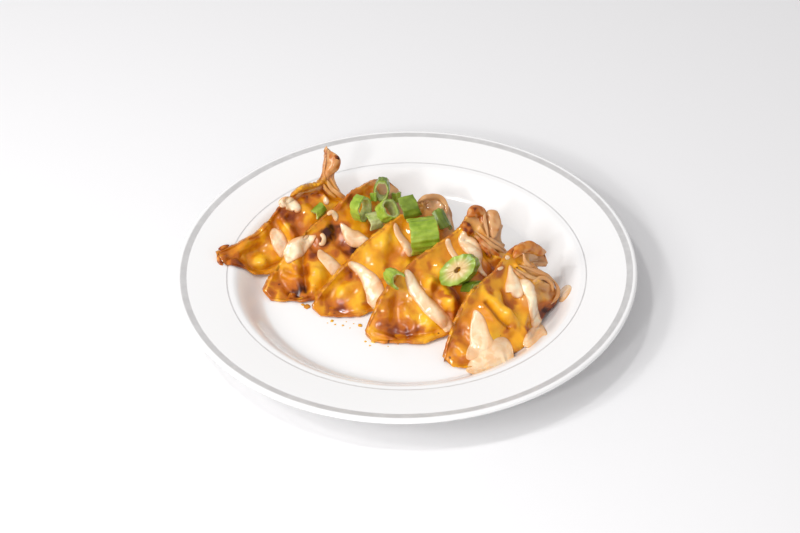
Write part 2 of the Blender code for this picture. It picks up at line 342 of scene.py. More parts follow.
# %% From stations to skin
def gyoza_skin(spec, along, turn):
    """Places on the skin in mm. along runs 0 to 1 from tip to tail; turn runs 0 to 2 round the
    section, from the seal down the front to the base at 1 and up the back."""
    place = along * (len(spec["ridge"]) - 1)
    ridge = curve_at(spec["ridge"], place)
    base = curve_at(spec["base"], place)
    front = curve_at(spec["front"], place)[..., 0]
    back = curve_at(spec["back"], place)[..., 0]
    wing = np.clip(1.0 - along / WING_SHARE, 0.0, 1.0)[..., None]
    side = np.where(turn > 1.0, -1.0, 1.0)
    down = np.where(turn > 1.0, 2.0 - turn, turn) * (len(BELLY_FLANK) - 1)
    flank = curve_at(BELLY_FLANK, down) * (1 - wing) + curve_at(WING_FLANK, down) * wing
    height, width = flank[..., 0], flank[..., 1]
    wave = np.sin(2 * math.pi * spec["pleats"] * along + 3.0 * height)
    fade = np.sqrt(np.clip(np.sin(math.pi * along), 0, 1))
    swell = np.clip(np.sin(math.pi * height), 0, 1) ** 0.7
    pleat = np.where(side > 0, 0.0, PLEAT_DEPTH * wave * fade * swell)
    half = (back - front) / 2 + pleat
    width = np.where(height > 0.5, np.maximum(width, CRISP_EDGE / 2 / half), width)
    reach = base[..., 0] + (ridge[..., 0] - base[..., 0]) * height
    middle = (front + back) / 2
    across = middle + (ridge[..., 1] - middle) * height - side * half * width
    heading = math.radians(spec["heading"])
    x = spec["tip"][0] + reach * math.cos(heading) - across * math.sin(heading)
    y = spec["tip"][1] + reach * math.sin(heading) + across * math.cos(heading)
    seat = np.maximum(base[..., 1], plate_height(np.hypot(x, y)) + TOUCH_GAP)
    return np.stack([x, y, seat + (ridge[..., 2] - seat) * height], -1)

# %% [markdown]
# ## What hand and pan did to each gyoza
# Every one is different. Folds and creases are short lines over the skin, raised or pressed in.
# Bumps are where the filling pushes out. Places on the skin are pairs: share of the length from tip
# to tail, and turn round the section from the seal (0) over the front to the base (1).

# %% Folds, bumps and browning, gyoza by gyoza
# fold: (places, height in mm, width in mm); bump: (along, turn, radius, height)
# toast, char, yellow, pale: (along, turn, radius, strength); on gyoza_5 some low toast and char is painted
# shade
MARKS = {
    "gyoza_1": dict(
        folds=[([(0.53, 0), (0.62, 0), (0.763, 0)], 1.5, 1.8),
               ([(0.497, 0.05), (0.583, 0.14), (0.677, 0.14)], -1.6, 2),
               ([(0.42, 0.22), (0.422, 0.33), (0.427, 0.42)], 1.9, 1.6),
               ([(0.372, 0.15), (0.367, 0.3), (0.372, 0.44)], -1.5, 2.4),
               ([(0.478, 0.32), (0.463, 0.4), (0.453, 0.46)], -1.2, 2),
               ([(0.035, 0.42), (0.14, 0.27), (0.233, 0.16), (0.333, 0.04)], 0.9, 2),
               ([(0.075, 0.52), (0.122, 0.61), (0.198, 0.38), (0.253, 0.34)], -1.6, 3),
               ([(0.588, 0.24), (0.595, 0.33), (0.605, 0.41)], -1, 2.5),
               ([(0.763, 0.15), (0.74, 0.28), (0.795, 0.61)], 1.3, 0.8),
               ([(0.705, 0.15), (0.695, 0.28), (0.723, 0.39)], -1, 0.9),
               ([(0.667, 0.22), (0.665, 0.32)], 1, 0.8)],
        bumps=[(0.238, 0.51, 4.8, 2.6), (0.188, 0.21, 4, 1), (0.55, 0.34, 5, 1.2), (0.45, 0.18, 3, 1)],
        toast_and_shade=[(0.095, 0.59, 4.5, 1), (0.052, 0.43, 3, 0.7), (0.238, 0.17, 2.4, 0.5), (0.435, 0.11, 3.4, 1),
               (0.475, 0.26, 4.6, 0.95), (0.458, 0.39, 4, 0.8), (0.642, 0.2, 2.6, 0.9),
               (0.588, 0.19, 2.6, 0.8), (0.522, 0.16, 2.6, 0.8), (0.438, 0.23, 3, 0.9),
               (0.708, 0.2, 2.5, 0.8),
               (0.058, 0, 2.5, 0.7), (0, 0.58, 2.5, 0.8), (0.375, 0.01, 2.2, 0.6), (0.32, 0.28, 3, 0.5)],
        char_and_shade=[(0.105, 0.63, 1.6, 0.6), (0.432, 0, 1.5, 0.9), (0.435, 0.26, 0.8, 0.9), (0.6, 0.19, 0.6, 1),
              (0.63, 0.16, 0.6, 1), (0.578, 0.24, 0.6, 1), (0.65, 0.17, 0.6, 0.9), (0.522, 0.18, 0.9, 0.8),
              (0.225, 0.14, 0.7, 0.8), (0, 0.76, 1.2, 0.8), (0.055, 0.27, 0.9, 0.8), (0.018, 0.76, 0.9, 0.8)],
        yellow=[(0.238, 0.51, 5.5, 1), (0.598, 0.04, 4, 0.9), (0.422, 0.33, 2.8, 0.9), (0.283, 0.34, 4, 0.5),
                (0.532, 0.34, 3.5, 0.7), (0.208, 0.3, 3, 0.4)],
    ),
    "gyoza_2": dict(
        folds=[([(0.335, 0.16), (0.275, 0.3), (0.225, 0.45), (0.198, 0.55)], -2.4, 1.5),
               ([(0.29, 0.11), (0.242, 0.27), (0.18, 0.46)], 1.3, 2.2),
               ([(0.212, 0.04), (0.242, 0.27), (0.28, 0.32)], 0.8, 1),
               ([(0.18, 0.2), (0.212, 0.35), (0.25, 0.37)], -0.9, 1),
               ([(0.15, 0.23), (0.18, 0.37), (0.23, 0.4)], 0.7, 1),
               ([(0.147, 0.03), (0.125, 0.33), (0.12, 0.52)], -1.4, 1.8),
               ([(0.128, 0), (0.058, 0), (0.007, 0.31)], 1, 1.8),
               ([(0.37, 0.16), (0.375, 0.28), (0.403, 0.33), (0.468, 0.33)], -2, 2.6),
               ([(0.53, 0.2), (0.497, 0.36), (0.492, 0.45), (0.532, 0.48)], -1.5, 3),
               ([(0.445, 0.42), (0.46, 0.51), (0.51, 0.54)], 1, 2),
               ([(0.642, 0.36), (0.628, 0.43), (0.66, 0.49)], 0.8, 2)],
        bumps=[(0.292, 0.46, 6, 2.8), (0.585, 0.45, 5, 1.3), (0.205, 0.6, 4, 1.2), (0.15, 0.51, 4, -1.2)],
        toast_and_shade=[(0.338, 0.28, 4, 1), (0.27, 0.38, 3, 1), (0.13, 0.53, 4.2, 1), (0.19, 0.47, 3, 0.95),
               (0.115, 0.42, 3, 0.7), (0.09, 0.32, 2.5, 0.8), (0.408, 0.25, 4, 1), (0.532, 0.27, 4, 0.95),
               (0.5, 0.39, 4, 0.9), (0.425, 0.4, 3, 0.8), (0.492, 0.45, 4, 1), (0.542, 0.47, 3.5, 1),
               (0.635, 0.43, 4, 0.7), (0.795, 0.17, 4, 0.55), (0.728, 0.13, 3, 0.5), (0.603, 0.05, 3, 0.6),
               (0.667, 0.08, 3, 0.9), (0.185, 0.77, 3, 0.9), (0.225, 0.31, 2, 0.5), (0.028, 0.51, 2.5, 0.8)],
        char_and_shade=[(0.473, 0.25, 4.8, 1), (0.51, 0.2, 3.4, 1), (0.435, 0.28, 3.6, 1), (0.527, 0.45, 3.4, 1),
              (0.555, 0.47, 1.6, 0.9), (0.177, 0.53, 3.2, 1), (0.143, 0.555, 3.4, 1), (0.088, 0.31, 0.8, 1),
              (0.253, 0.53, 0.7, 1), (0.4, 0.26, 2, 0.7), (0.095, 0.45, 0.9, 0.8), (0.035, 0.32, 0.9, 0.7),
              (0.158, 0.76, 1.2, 0.8)],
        yellow=[(0.288, 0.47, 5, 1), (0.555, 0.35, 3, 0.7), (0.25, 0.25, 2, 0.5), (0.198, 0.63, 3.5, 0.6),
                (0.075, 0, 3, 0.3)],
    ),
    "gyoza_3": dict(
        folds=[([(0.315, 0), (0.3, 0.33), (0.29, 0.48)], -1.2, 2), ([(0.31, 0.08), (0.295, 0.38)], 0.5, 1.5),
               ([(0.083, 0), (0.217, 0), (0.315, 0)], 1.2, 1.8),
               ([(0.138, 0.25), (0.238, 0.19), (0.297, 0.21)], -1.2, 2.5),
               ([(0.27, 0.4), (0.22, 0.51), (0.155, 0.63)], 0.8, 2.5),
               ([(0.275, 0.53), (0.238, 0.76)], -0.8, 2),
               ([(0.59, 0.07), (0.508, 0.22), (0.413, 0.24)], 0.9, 2.2),
               ([(0.527, 0.31), (0.455, 0.37), (0.44, 0.44)], -1.3, 2.6),
               ([(0.588, 0.37), (0.58, 0.44), (0.63, 0.48)], -1.1, 2.4),
               ([(0.58, 0.49), (0.61, 0.58)], -1, 2),
               ([(0.638, 0.18), (0.61, 0.3)], -0.8, 2), ([(0.83, 0), (0.805, 0.16), (0.735, 0.15)], 1, 0.9),
               ([(0.888, 0), (0.843, 0.26)], -1.2, 0.9), ([(0.965, 0.06), (0.925, 0.43)], 1, 0.9),
               ([(0.9, 0.5), (0.81, 0.43)], -1, 1)],
        bumps=[(0.205, 0.3, 5.5, 2), (0.515, 0.16, 5, 1.3), (0.578, 0.36, 4, 1.6), (0.352, 0.4, 4, 0.8),
               (0.195, 0.67, 3.5, 0.8)],
        toast_and_shade=[(0.12, 0.53, 4, 1), (0.098, 0.45, 2.8, 0.9), (0.288, 0.19, 2.6, 0.9), (0.155, 0.63, 3, 0.6),
               (0.068, 0.15, 2.5, 0.6), (0.247, 0.54, 2.4, 0.6), (0.318, 0.29, 2.2, 0.8),
               (0.445, 0.38, 2.5, 0.5), (0.238, 0.76, 2, 0.6), (0.735, 0.23, 3, 0.7), (0.56, 0.38, 2, 0.5),
               (0.388, 0.43, 2, 0.5)],
        char_and_shade=[(0.075, 0.59, 1, 0.7)],
        yellow=[(0.185, 0.26, 5, 0.9), (0.238, 0.49, 4, 0.7), (0.505, 0.19, 5, 1), (0.41, 0.1, 4, 0.7),
                (0.532, 0.44, 4, 0.8), (0.557, 0.53, 4, 0.7), (0.583, 0.2, 4, 0.7), (0.258, 0.28, 3, 0.6)],
    ),
    "gyoza_4": dict(
        folds=[([(0.26, 0.16), (0.193, 0.25), (0.115, 0.39)], 1.2, 2.2),
               ([(0.295, 0.21), (0.242, 0.31), (0.182, 0.43)], -1.3, 2.6),
               ([(0.052, 0.41), (0.128, 0.62), (0.225, 0.67), (0.297, 0.65)], 1.2, 1),
               ([(0.105, 0.43), (0.168, 0.56), (0.242, 0.59)], -1.3, 1.6),
               ([(0.378, 0.29), (0.383, 0.4), (0.365, 0.54)], 0.9, 2.2),
               ([(0.315, 0.3), (0.302, 0.43), (0.275, 0.56)], -1, 2.4),
               ([(0.45, 0.36), (0.405, 0.41), (0.403, 0.5)], -1.6, 2),
               ([(0.497, 0.34), (0.51, 0.42), (0.463, 0.54)], -1.5, 2.4),
               ([(0.42, 0.19), (0.4, 0.3)], -1.3, 2), ([(0.42, 0.52), (0.38, 0.61)], -1.4, 2),
               ([(0.547, 0.39), (0.505, 0.5), (0.458, 0.59)], -1.6, 2.6),
               ([(0.715, 0.09), (0.723, 0.24), (0.73, 0.36), (0.812, 0.76)], 1.2, 0.8),
               ([(0.735, 0.19), (0.75, 0.33), (0.792, 0.49)], -1.1, 0.9),
               ([(0.665, 0.21), (0.682, 0.31), (0.68, 0.44)], 1.1, 1),
               ([(0.693, 0.19), (0.71, 0.3), (0.73, 0.42)], -1, 0.9),
               ([(0.825, 0.3), (0.81, 0.39), (0.86, 0.7)], 1, 0.9)],
        bumps=[(0.44, 0.3, 4.2, 2.4), (0.455, 0.46, 4.8, 2.6), (0.315, 0.52, 5, 1.8), (0.212, 0.07, 4, 1),
               (0.525, 0.24, 5, 1.2), (0.223, 0.47, 4, -1.4)],
        toast_and_shade=[(0.163, 0.49, 4.6, 1), (0.21, 0.54, 4.6, 1), (0.26, 0.54, 3, 0.9), (0.143, 0.36, 3, 0.9),
               (0.175, 0.2, 3.4, 0.55), (0.242, 0.2, 3, 0.5), (0.415, 0.03, 2.6, 0.8), (0.49, 0.19, 2, 0.6),
               (0.438, 0.36, 2.2, 0.8), (0.487, 0.48, 4, 1), (0.448, 0.58, 3.6, 0.9), (0.453, 0.41, 1.8, 0.8),
               (0.512, 0.36, 2.2, 0.6), (0.512, 0.41, 2.8, 0.8), (0.413, 0.54, 2.4, 0.7),
               (0.68, 0.46, 4, 0.9),
               (0.64, 0.45, 3, 0.9), (0.718, 0.47, 3, 0.8), (0.662, 0.5, 3, 0.8)],
        char_and_shade=[(0.2, 0.55, 1.3, 1), (0.163, 0.51, 1, 0.7), (0.098, 0.64, 0.8, 0.9), (0.482, 0.59, 1.4, 0.8),
              (0.698, 0.43, 1, 0.8)],
        yellow=[(0.328, 0.5, 5, 1), (0.455, 0.46, 4.5, 1), (0.44, 0.3, 4.2, 1), (0.51, 0.27, 4, 0.8),
                (0.335, 0.42, 3, 0.8), (0.258, 0.36, 3, 0.5), (0.27, 0.67, 3, 0.8), (0.03, 0.55, 2, 0.5),
                (0.33, 0, 2.5, 0.5)],
    ),
    "gyoza_5": dict(
        folds=[([(0.432, 0.27), (0.422, 0.36), (0.417, 0.42), (0.427, 0.49)], -2.2, 1.1),
               ([(0.463, 0.25), (0.463, 0.39), (0.473, 0.48)], 1.5, 2.2),
               ([(0.405, 0.28), (0.395, 0.38), (0.395, 0.44)], 0.8, 1.5),
               ([(0.547, 0.28), (0.522, 0.36), (0.512, 0.39)], -1.3, 1.6),
               ([(0.562, 0.4), (0.497, 0.44), (0.478, 0.55)], -1.2, 2),
               ([(0.628, 0.45), (0.505, 0.53), (0.43, 0.72), (0.38, 0.76)], 2.2, 4.5),
               ([(0.628, 0.45), (0.505, 0.53), (0.43, 0.72)], 0.8, 1.2),
               ([(0.46, 0.06), (0.405, 0.18), (0.318, 0.2)], -0.9, 2),
               ([(0.233, 0.15), (0.188, 0.33), (0.19, 0.48)], -1.1, 2.2),
               ([(0.818, 0.46), (0.97, 0.78), (0.763, 0.67)], 1.2, 0.8),
               ([(0.763, 0.39), (0.79, 0.56), (0.76, 0.7)], -1.2, 0.8),
               ([(0.735, 0.3), (0.792, 0.55), (0.76, 0.69)], 1.2, 0.8),
               ([(0.713, 0.27), (0.71, 0.4), (0.745, 0.57)], -1.2, 0.9),
               ([(0.698, 0.23), (0.7, 0.38), (0.698, 0.45)], 1.2, 0.9),
               ([(0.642, 0.41), (0.698, 0.44), (0.725, 0.54)], 1.2, 1),
               ([(0.645, 0.43), (0.675, 0.47), (0.69, 0.53)], -1.2, 1.2),
               ([(0.633, 0.53), (0.67, 0.55), (0.703, 0.62)], -1, 2),
               ([(0.575, 0.59), (0.62, 0.64)], -1, 2.5),
               ([(0.87, 0.53), (0.93, 0.6), (0.97, 0.4)], -2.2, 2.6)],
        bumps=[(0.463, 0.43, 4.5, 1.8), (0.503, 0.28, 4, 1), (0.338, 0.42, 6, 1.8), (0.133, 0.4, 4, 1.2),
               (0.655, 0.58, 5, 1.6)],
        # The browns at along 0.59 to 0.66 and turn 0.63 to 0.77 are partly fried crust and partly painted
        # shade where the right side turns down to the plate.
        toast_and_shade=[(0.620, 0.67, 4.5, 1), (0.595, 0.63, 4, 1), (0.655, 0.67, 3.5, 1),
               (0.61, 0, 3.4, 0.8), (0.78, 0, 3, 0.8), (0.492, 0.2, 2.4, 0.6), (0.517, 0.38, 2.4, 0.8),
               (0.547, 0.39, 2, 0.6), (0.21, 0.19, 2.6, 0.8), (0.08, 0.16, 3, 0.7), (0.075, 0.52, 3, 0.5),
               (0.51, 0.08, 2, 0.6), (0.425, 0.5, 1.8, 0.7), (0.615, 0.76, 4, 1), (0.645, 0.77, 3, 0.9),
               (0.595, 0.74, 3, 0.9), (0.463, 0.76, 3.4, 0.9), (0.482, 0.63, 2.6, 0.8), (0.988, 0.08, 2.6, 1),
               (0.125, 0.13, 2.2, 0.6), (0.372, 0.07, 2, 0.5)],
        # The char at (0.62, 0.67) and (0.615, 0.76) is partly burnt crust and partly painted shade where the
        # right side meets the plate.
        char_and_shade=[(0.62, 0.67, 3, 0.9), (0.022, 0.37, 1.2, 1), (0.422, 0.48, 0.9, 0.9), (0.42, 0.42, 0.7, 0.8),
              (0.615, 0.76, 2.2, 0.9), (0.43, 0.76, 1.6, 0.7), (0.625, 0.35, 0.8, 0.6)],
        pale=[(0.728, 0.53, 7, 0.9), (0.680, 0.60, 7, 0.8), (0.635, 0.47, 6, 0.8),
              (0.598, 0.45, 4, 0.7), (0.790, 0.55, 6, 0.8), (0.728, 0.36, 5, 0.8)],
        yellow=[(0.453, 0.4, 4.5, 0.7), (0.485, 0.5, 4, 0.7), (0.453, 0.24, 3, 0.49), (0.348, 0.48, 5, 0.7),
                (0.532, 0.41, 3, 0.56), (0.47, 0.1, 3, 0.49), (0.565, 0.16, 3, 0.42), (0.667, 0.48, 4, 0.35)],
    ),
}

# %% [markdown]
# The skin is lifted or pressed along its normals. Besides the marks above, all five share what
# dough does: the wing dishes between its stiff borders, the fried base spreads in a thin skirt, the
# seal is a wavy crisp edge, pleats stand up on the back, the tail is gathered and twisted, and the
# whole skin is a little lumpy. The same pass stores how browned each spot is, for the material,
# and low on the fifth gyoza's right side part of that browning is painted shade.

# %% Working a gyoza's skin
GYOZA_AROUND = 210
GYOZA_RINGS = 180
SKIRT_AT = 0.72
GROOVE_AT = 0.61
SKIRT_LIFT = 1.3
GROOVE_DEPTH = 0.9
WING_DISH = 1.2
LUMPS = [(1.0, 10.0, 3), (0.55, 4.5, 5)]
BACK_PLEAT = 1.1
RAGGED_BY = 2.2
SPREAD = {"toast_and_shade": 1.7, "char_and_shade": 1.3, "yellow": 1.3, "pale": 1.3}
LEAST_CLEARANCE = 0.12


def near(spots, centre, radius):
    """1 at the centre, fading softly to 0 at the radius."""
    return 1 - smoothstep(0.05, 1.0, np.linalg.norm(spots - centre, axis=1) / radius)


def along_line(spec, spots, turn, places, width):
    """1 on a line over the skin, fading across its width, on the line's side only."""
    steps = np.linspace(0, len(places) - 1, 12 * len(places))
    route = curve_at(places, steps)
    line = gyoza_skin(spec, route[:, 0], np.clip(route[:, 1], 0.0, 2.0))
    distance = np.min(np.linalg.norm(spots[:, None] - line[None], axis=2), axis=1)
    side_gap = np.abs(turn - route[:, 1].mean())
    side_gap = np.minimum(side_gap, 2 - side_gap)
    return np.exp(-(distance / width) ** 2) * (1 - smoothstep(0.45, 0.6, side_gap))


def lift_of(spec, spots, along, turn):
    """How far each spot stands off the plain skin, in mm."""
    marks = MARKS[spec["name"]]
    seed = spec["tip"][0] * 0.13
    front = np.where(turn <= 1.0, 1.0, 0.0)
    down = np.where(turn > 1.0, 2.0 - turn, turn)
    middle = np.sin(math.pi * np.clip(down / SKIRT_AT, 0, 1))
    wing = 1 - smoothstep(0.12, WING_SHARE, along)
    lift = np.where(front > 0, -WING_DISH, 0.8) * wing * smoothstep(0.0, 0.1, along) * middle
    base = smoothstep(0.0, 0.08, along) * (1 - smoothstep(0.55, 0.75, along))
    skirt = SKIRT_LIFT + 0.8 * noise_at(spots, 5.0, seed)
    lift += base * np.exp(-((down - SKIRT_AT) / 0.04) ** 2) * skirt
    groove = GROOVE_DEPTH + 1.2 * noise_at(spots, 8.0, seed + 1)
    lift -= base * np.exp(-((down - GROOVE_AT) / 0.05) ** 2) * groove * front
    body = smoothstep(0.02, 0.25, down)
    for height, size, step in LUMPS:
        lift += height * noise_at(spots, size, seed + step) * body
    lift += 0.12 * noise_at(spots, 2.0, seed + 7)
    pleat = (1 - np.abs(np.sin(math.pi * spec["pleats"] * along + 1.4 * down))) ** 2
    lift += (1 - front) * BACK_PLEAT * pleat * middle * smoothstep(0.1, 0.3, along)
    gather = smoothstep(0.74, 0.95, along)
    lift += gather * 0.4 * np.sin(math.pi * 5 * turn + 14 * along + seed)
    for places, height, width in marks["folds"]:
        lift += height * along_line(spec, spots, turn, places, width)
    for at, turned, radius, height in marks["bumps"]:
        centre = gyoza_skin(spec, np.array([at]), np.array([turned]))[0]
        lift += height * near(spots, centre, radius)
    return lift


def marks_of(spec, spots, along, turn):
    """Browning per spot: toast, char, yellow, crisp and pale, from 0 to 1, with ragged outlines. On gyoza_5's
    lower right side some toast and char is painted shade.
    """
    marks = MARKS[spec["name"]]
    ragged = np.stack([noise_at(spots, 3.2, axis * 11.0) for axis in range(3)], -1)
    spots = spots + RAGGED_BY * ragged
    down = np.where(turn > 1.0, 2.0 - turn, turn)
    back = smoothstep(1.02, 1.2, turn) * (1 - smoothstep(1.93, 1.99, turn))
    found = {kind: np.zeros(len(spots)) for kind in ("toast_and_shade", "char_and_shade", "yellow")}
    seal = np.exp(-(down / 0.035) ** 2)
    skirt = np.exp(-((down - SKIRT_AT) / 0.05) ** 2)
    found["crisp"] = np.clip(np.maximum(seal * 0.8, skirt * 0.55), 0, 1)
    found["pale"] = np.clip(back * smoothstep(0.35, 0.6, along) + smoothstep(0.72, 0.9, along), 0, 1)
    for kind, spread in SPREAD.items():
        for at, turned, radius, strength in marks.get(kind, []):
            centre = gyoza_skin(spec, np.array([at]), np.array([turned]))[0]
            amount = strength * near(spots, centre, radius * spread)
            found[kind] = np.maximum(found[kind], amount)
    return found


def make_gyoza(spec):
    """One dumpling's skin as a bmesh in metres, with its browning stored as attributes."""
    skin = bmesh.new()
    bmesh.ops.create_uvsphere(skin, u_segments=GYOZA_AROUND, v_segments=GYOZA_RINGS, radius=1.0)
    ball = np.array([vert.co for vert in skin.verts])
    along = 1.0 - np.arccos(np.clip(ball[:, 2], -1, 1)) / math.pi
    turn = (np.arctan2(ball[:, 1], ball[:, 0]) / math.pi + 1.0 / GYOZA_AROUND) % 2.0
    spots = gyoza_skin(spec, along, turn)
    for vert, spot in zip(skin.verts, spots):
        vert.co = Vector(spot) * MM
    skin.normal_update()
    normals = np.array([vert.normal for vert in skin.verts])
    lift = lift_of(spec, spots, along, turn)
    lifted = spots + normals * lift[:, None]
    down = np.where(turn > 1.0, 2.0 - turn, turn)
    edge = np.exp(-(down / 0.05) ** 2)
    seed = spec["tip"][1] * 0.21
    lifted[:, 2] += edge * (0.55 * noise_at(spots, 5.0, seed) + 0.35 * noise_at(spots, 1.8, seed + 2))
    lifted[:, 1] += edge * 0.6 * noise_at(spots, 6.0, seed + 4)
    floor = plate_height(np.hypot(lifted[:, 0], lifted[:, 1])) + LEAST_CLEARANCE
    lifted[:, 2] = np.maximum(lifted[:, 2], floor)
    for vert, spot in zip(skin.verts, lifted):
        vert.co = Vector(spot) * MM
    marks = marks_of(spec, spots, along, turn)
    marks["hollow"] = smoothstep(0.25, 1.5, -lift)
    for kind, amount in marks.items():
        layer = skin.verts.layers.float.new(kind)
        for vert, value in zip(skin.verts, amount):
            vert[layer] = float(value)
    skin.normal_update()
    return skin

# %% [markdown]
# Glazed, fried dough is several colours at once: amber where the glaze is thin, yellow where the
# skin is stretched over filling, red-brown where glaze pooled and caramelised, nearly black where it
# burnt, and a pinkish tan where the pleats stayed dry. The red-brown and near-black are also painted
# shade low on the fifth gyoza's right side and inside the first gyoza's tail hollow. Each is mixed in
# by its stored amount, broken up with noise so that no patch has a clean outline. A clear coat is the
# wet glaze.

# %% The dough's finish
dough, shader = new_material("glazed_dough", ior=1.38, subsurface_weight=0.12,
                             subsurface_radius=(1.0, 0.4, 0.12), subsurface_scale=0.003,
                             specular_ior_level=0.12,
                             coat_weight=0.85, coat_roughness=0.04, coat_ior=1.5)
mottle = grain(dough, 0.011, 3, warp=0.5)
fine_mottle = grain(dough, 0.0028, 4, roughness=0.55)
colour = blend_colour(dough, ramp(dough, mottle, 0.36, 0.66), (0.66, 0.225, 0.005, 1), (0.80, 0.38, 0.010, 1))
yellow_amount = maths(dough, "MULTIPLY", attribute(dough, "yellow"),
                      ramp(dough, fine_mottle, 0.2, 0.6, 0.7, 1.0))
colour = blend_colour(dough, yellow_amount, colour, (0.90, 0.50, 0.022, 1))
hollow_amount = maths(dough, "MULTIPLY", attribute(dough, "hollow"),
                      ramp(dough, fine_mottle, 0.2, 0.7, 0.3, 0.8))
colour = blend_colour(dough, hollow_amount, colour, (0.48, 0.12, 0.003, 1))
pale_amount = maths(dough, "MULTIPLY", attribute(dough, "pale"), ramp(dough, mottle, 0.2, 0.7, 0.55, 1.0))
colour = blend_colour(dough, pale_amount, colour, (0.61, 0.35, 0.175, 1))
crisp_amount = maths(dough, "MULTIPLY", attribute(dough, "crisp"), ramp(dough, fine_mottle, 0.35, 0.65))
colour = blend_colour(dough, crisp_amount, colour, (0.33, 0.075, 0.008, 1))
# Red-brown toast; low on gyoza_5's right side and in gyoza_1's tail hollow it is painted shade.
toast_and_shade_amount = maths(dough, "ADD", attribute(dough, "toast_and_shade"), ramp(dough, fine_mottle, 0.2, 0.8, -0.1, 0.1))
colour = blend_colour(dough, ramp(dough, toast_and_shade_amount, 0.05, 0.6), colour, (0.46, 0.115, 0.003, 1))
colour = blend_colour(dough, ramp(dough, toast_and_shade_amount, 0.6, 1.05), colour, (0.17, 0.024, 0.001, 1))
# Near-black char; at the same places it is painted shade.
char_and_shade_amount = ramp(dough, maths(dough, "ADD", attribute(dough, "char_and_shade"),
                                ramp(dough, fine_mottle, 0.2, 0.8, -0.2, 0.2)), 0.2, 0.85)
specks = add_node(dough, "TexVoronoi", {"Vector": place_on(dough), "Scale": 210.0, "Randomness": 1.0})
speck_amount = maths(dough, "MULTIPLY", ramp(dough, specks.outputs["Distance"], 0.05, 0.12, 0.9, 0.0),
                     ramp(dough, grain(dough, 0.013, 2), 0.56, 0.62))
char_and_shade_amount = maths(dough, "MAXIMUM", char_and_shade_amount, speck_amount)
colour = blend_colour(dough, char_and_shade_amount, colour, (0.050, 0.006, 0.001, 1))
paint(dough, shader, colour=colour,
      roughness=ramp(dough, fine_mottle, 0.3, 0.7, 0.32, 0.5))
bump(dough, [(mottle, 0.2, 0.0012), (fine_mottle, 0.16, 0.0004),
             (grain(dough, 0.0007, 3), 0.08, 0.0002)], shader)

# %% [markdown]
# Each dumpling is made from its own stations and marks. The meshes are kept, because the sauce and
# the spring onion are let down onto them later.

# %% The five gyoza
gyoza_meshes = {}
for spec in GYOZA:
    gyoza_meshes[spec["name"]] = make_gyoza(spec)
    show("fried_" + spec["name"], gyoza_meshes[spec["name"]], [dough], spec["name"])

# %% [markdown]
# ## The sauce
# Pale chilli mayonnaise runs down the fronts in strands and settles in pools on the plate. Each
# strand has a path: places on the food or the plate, with the strand's half width at each.

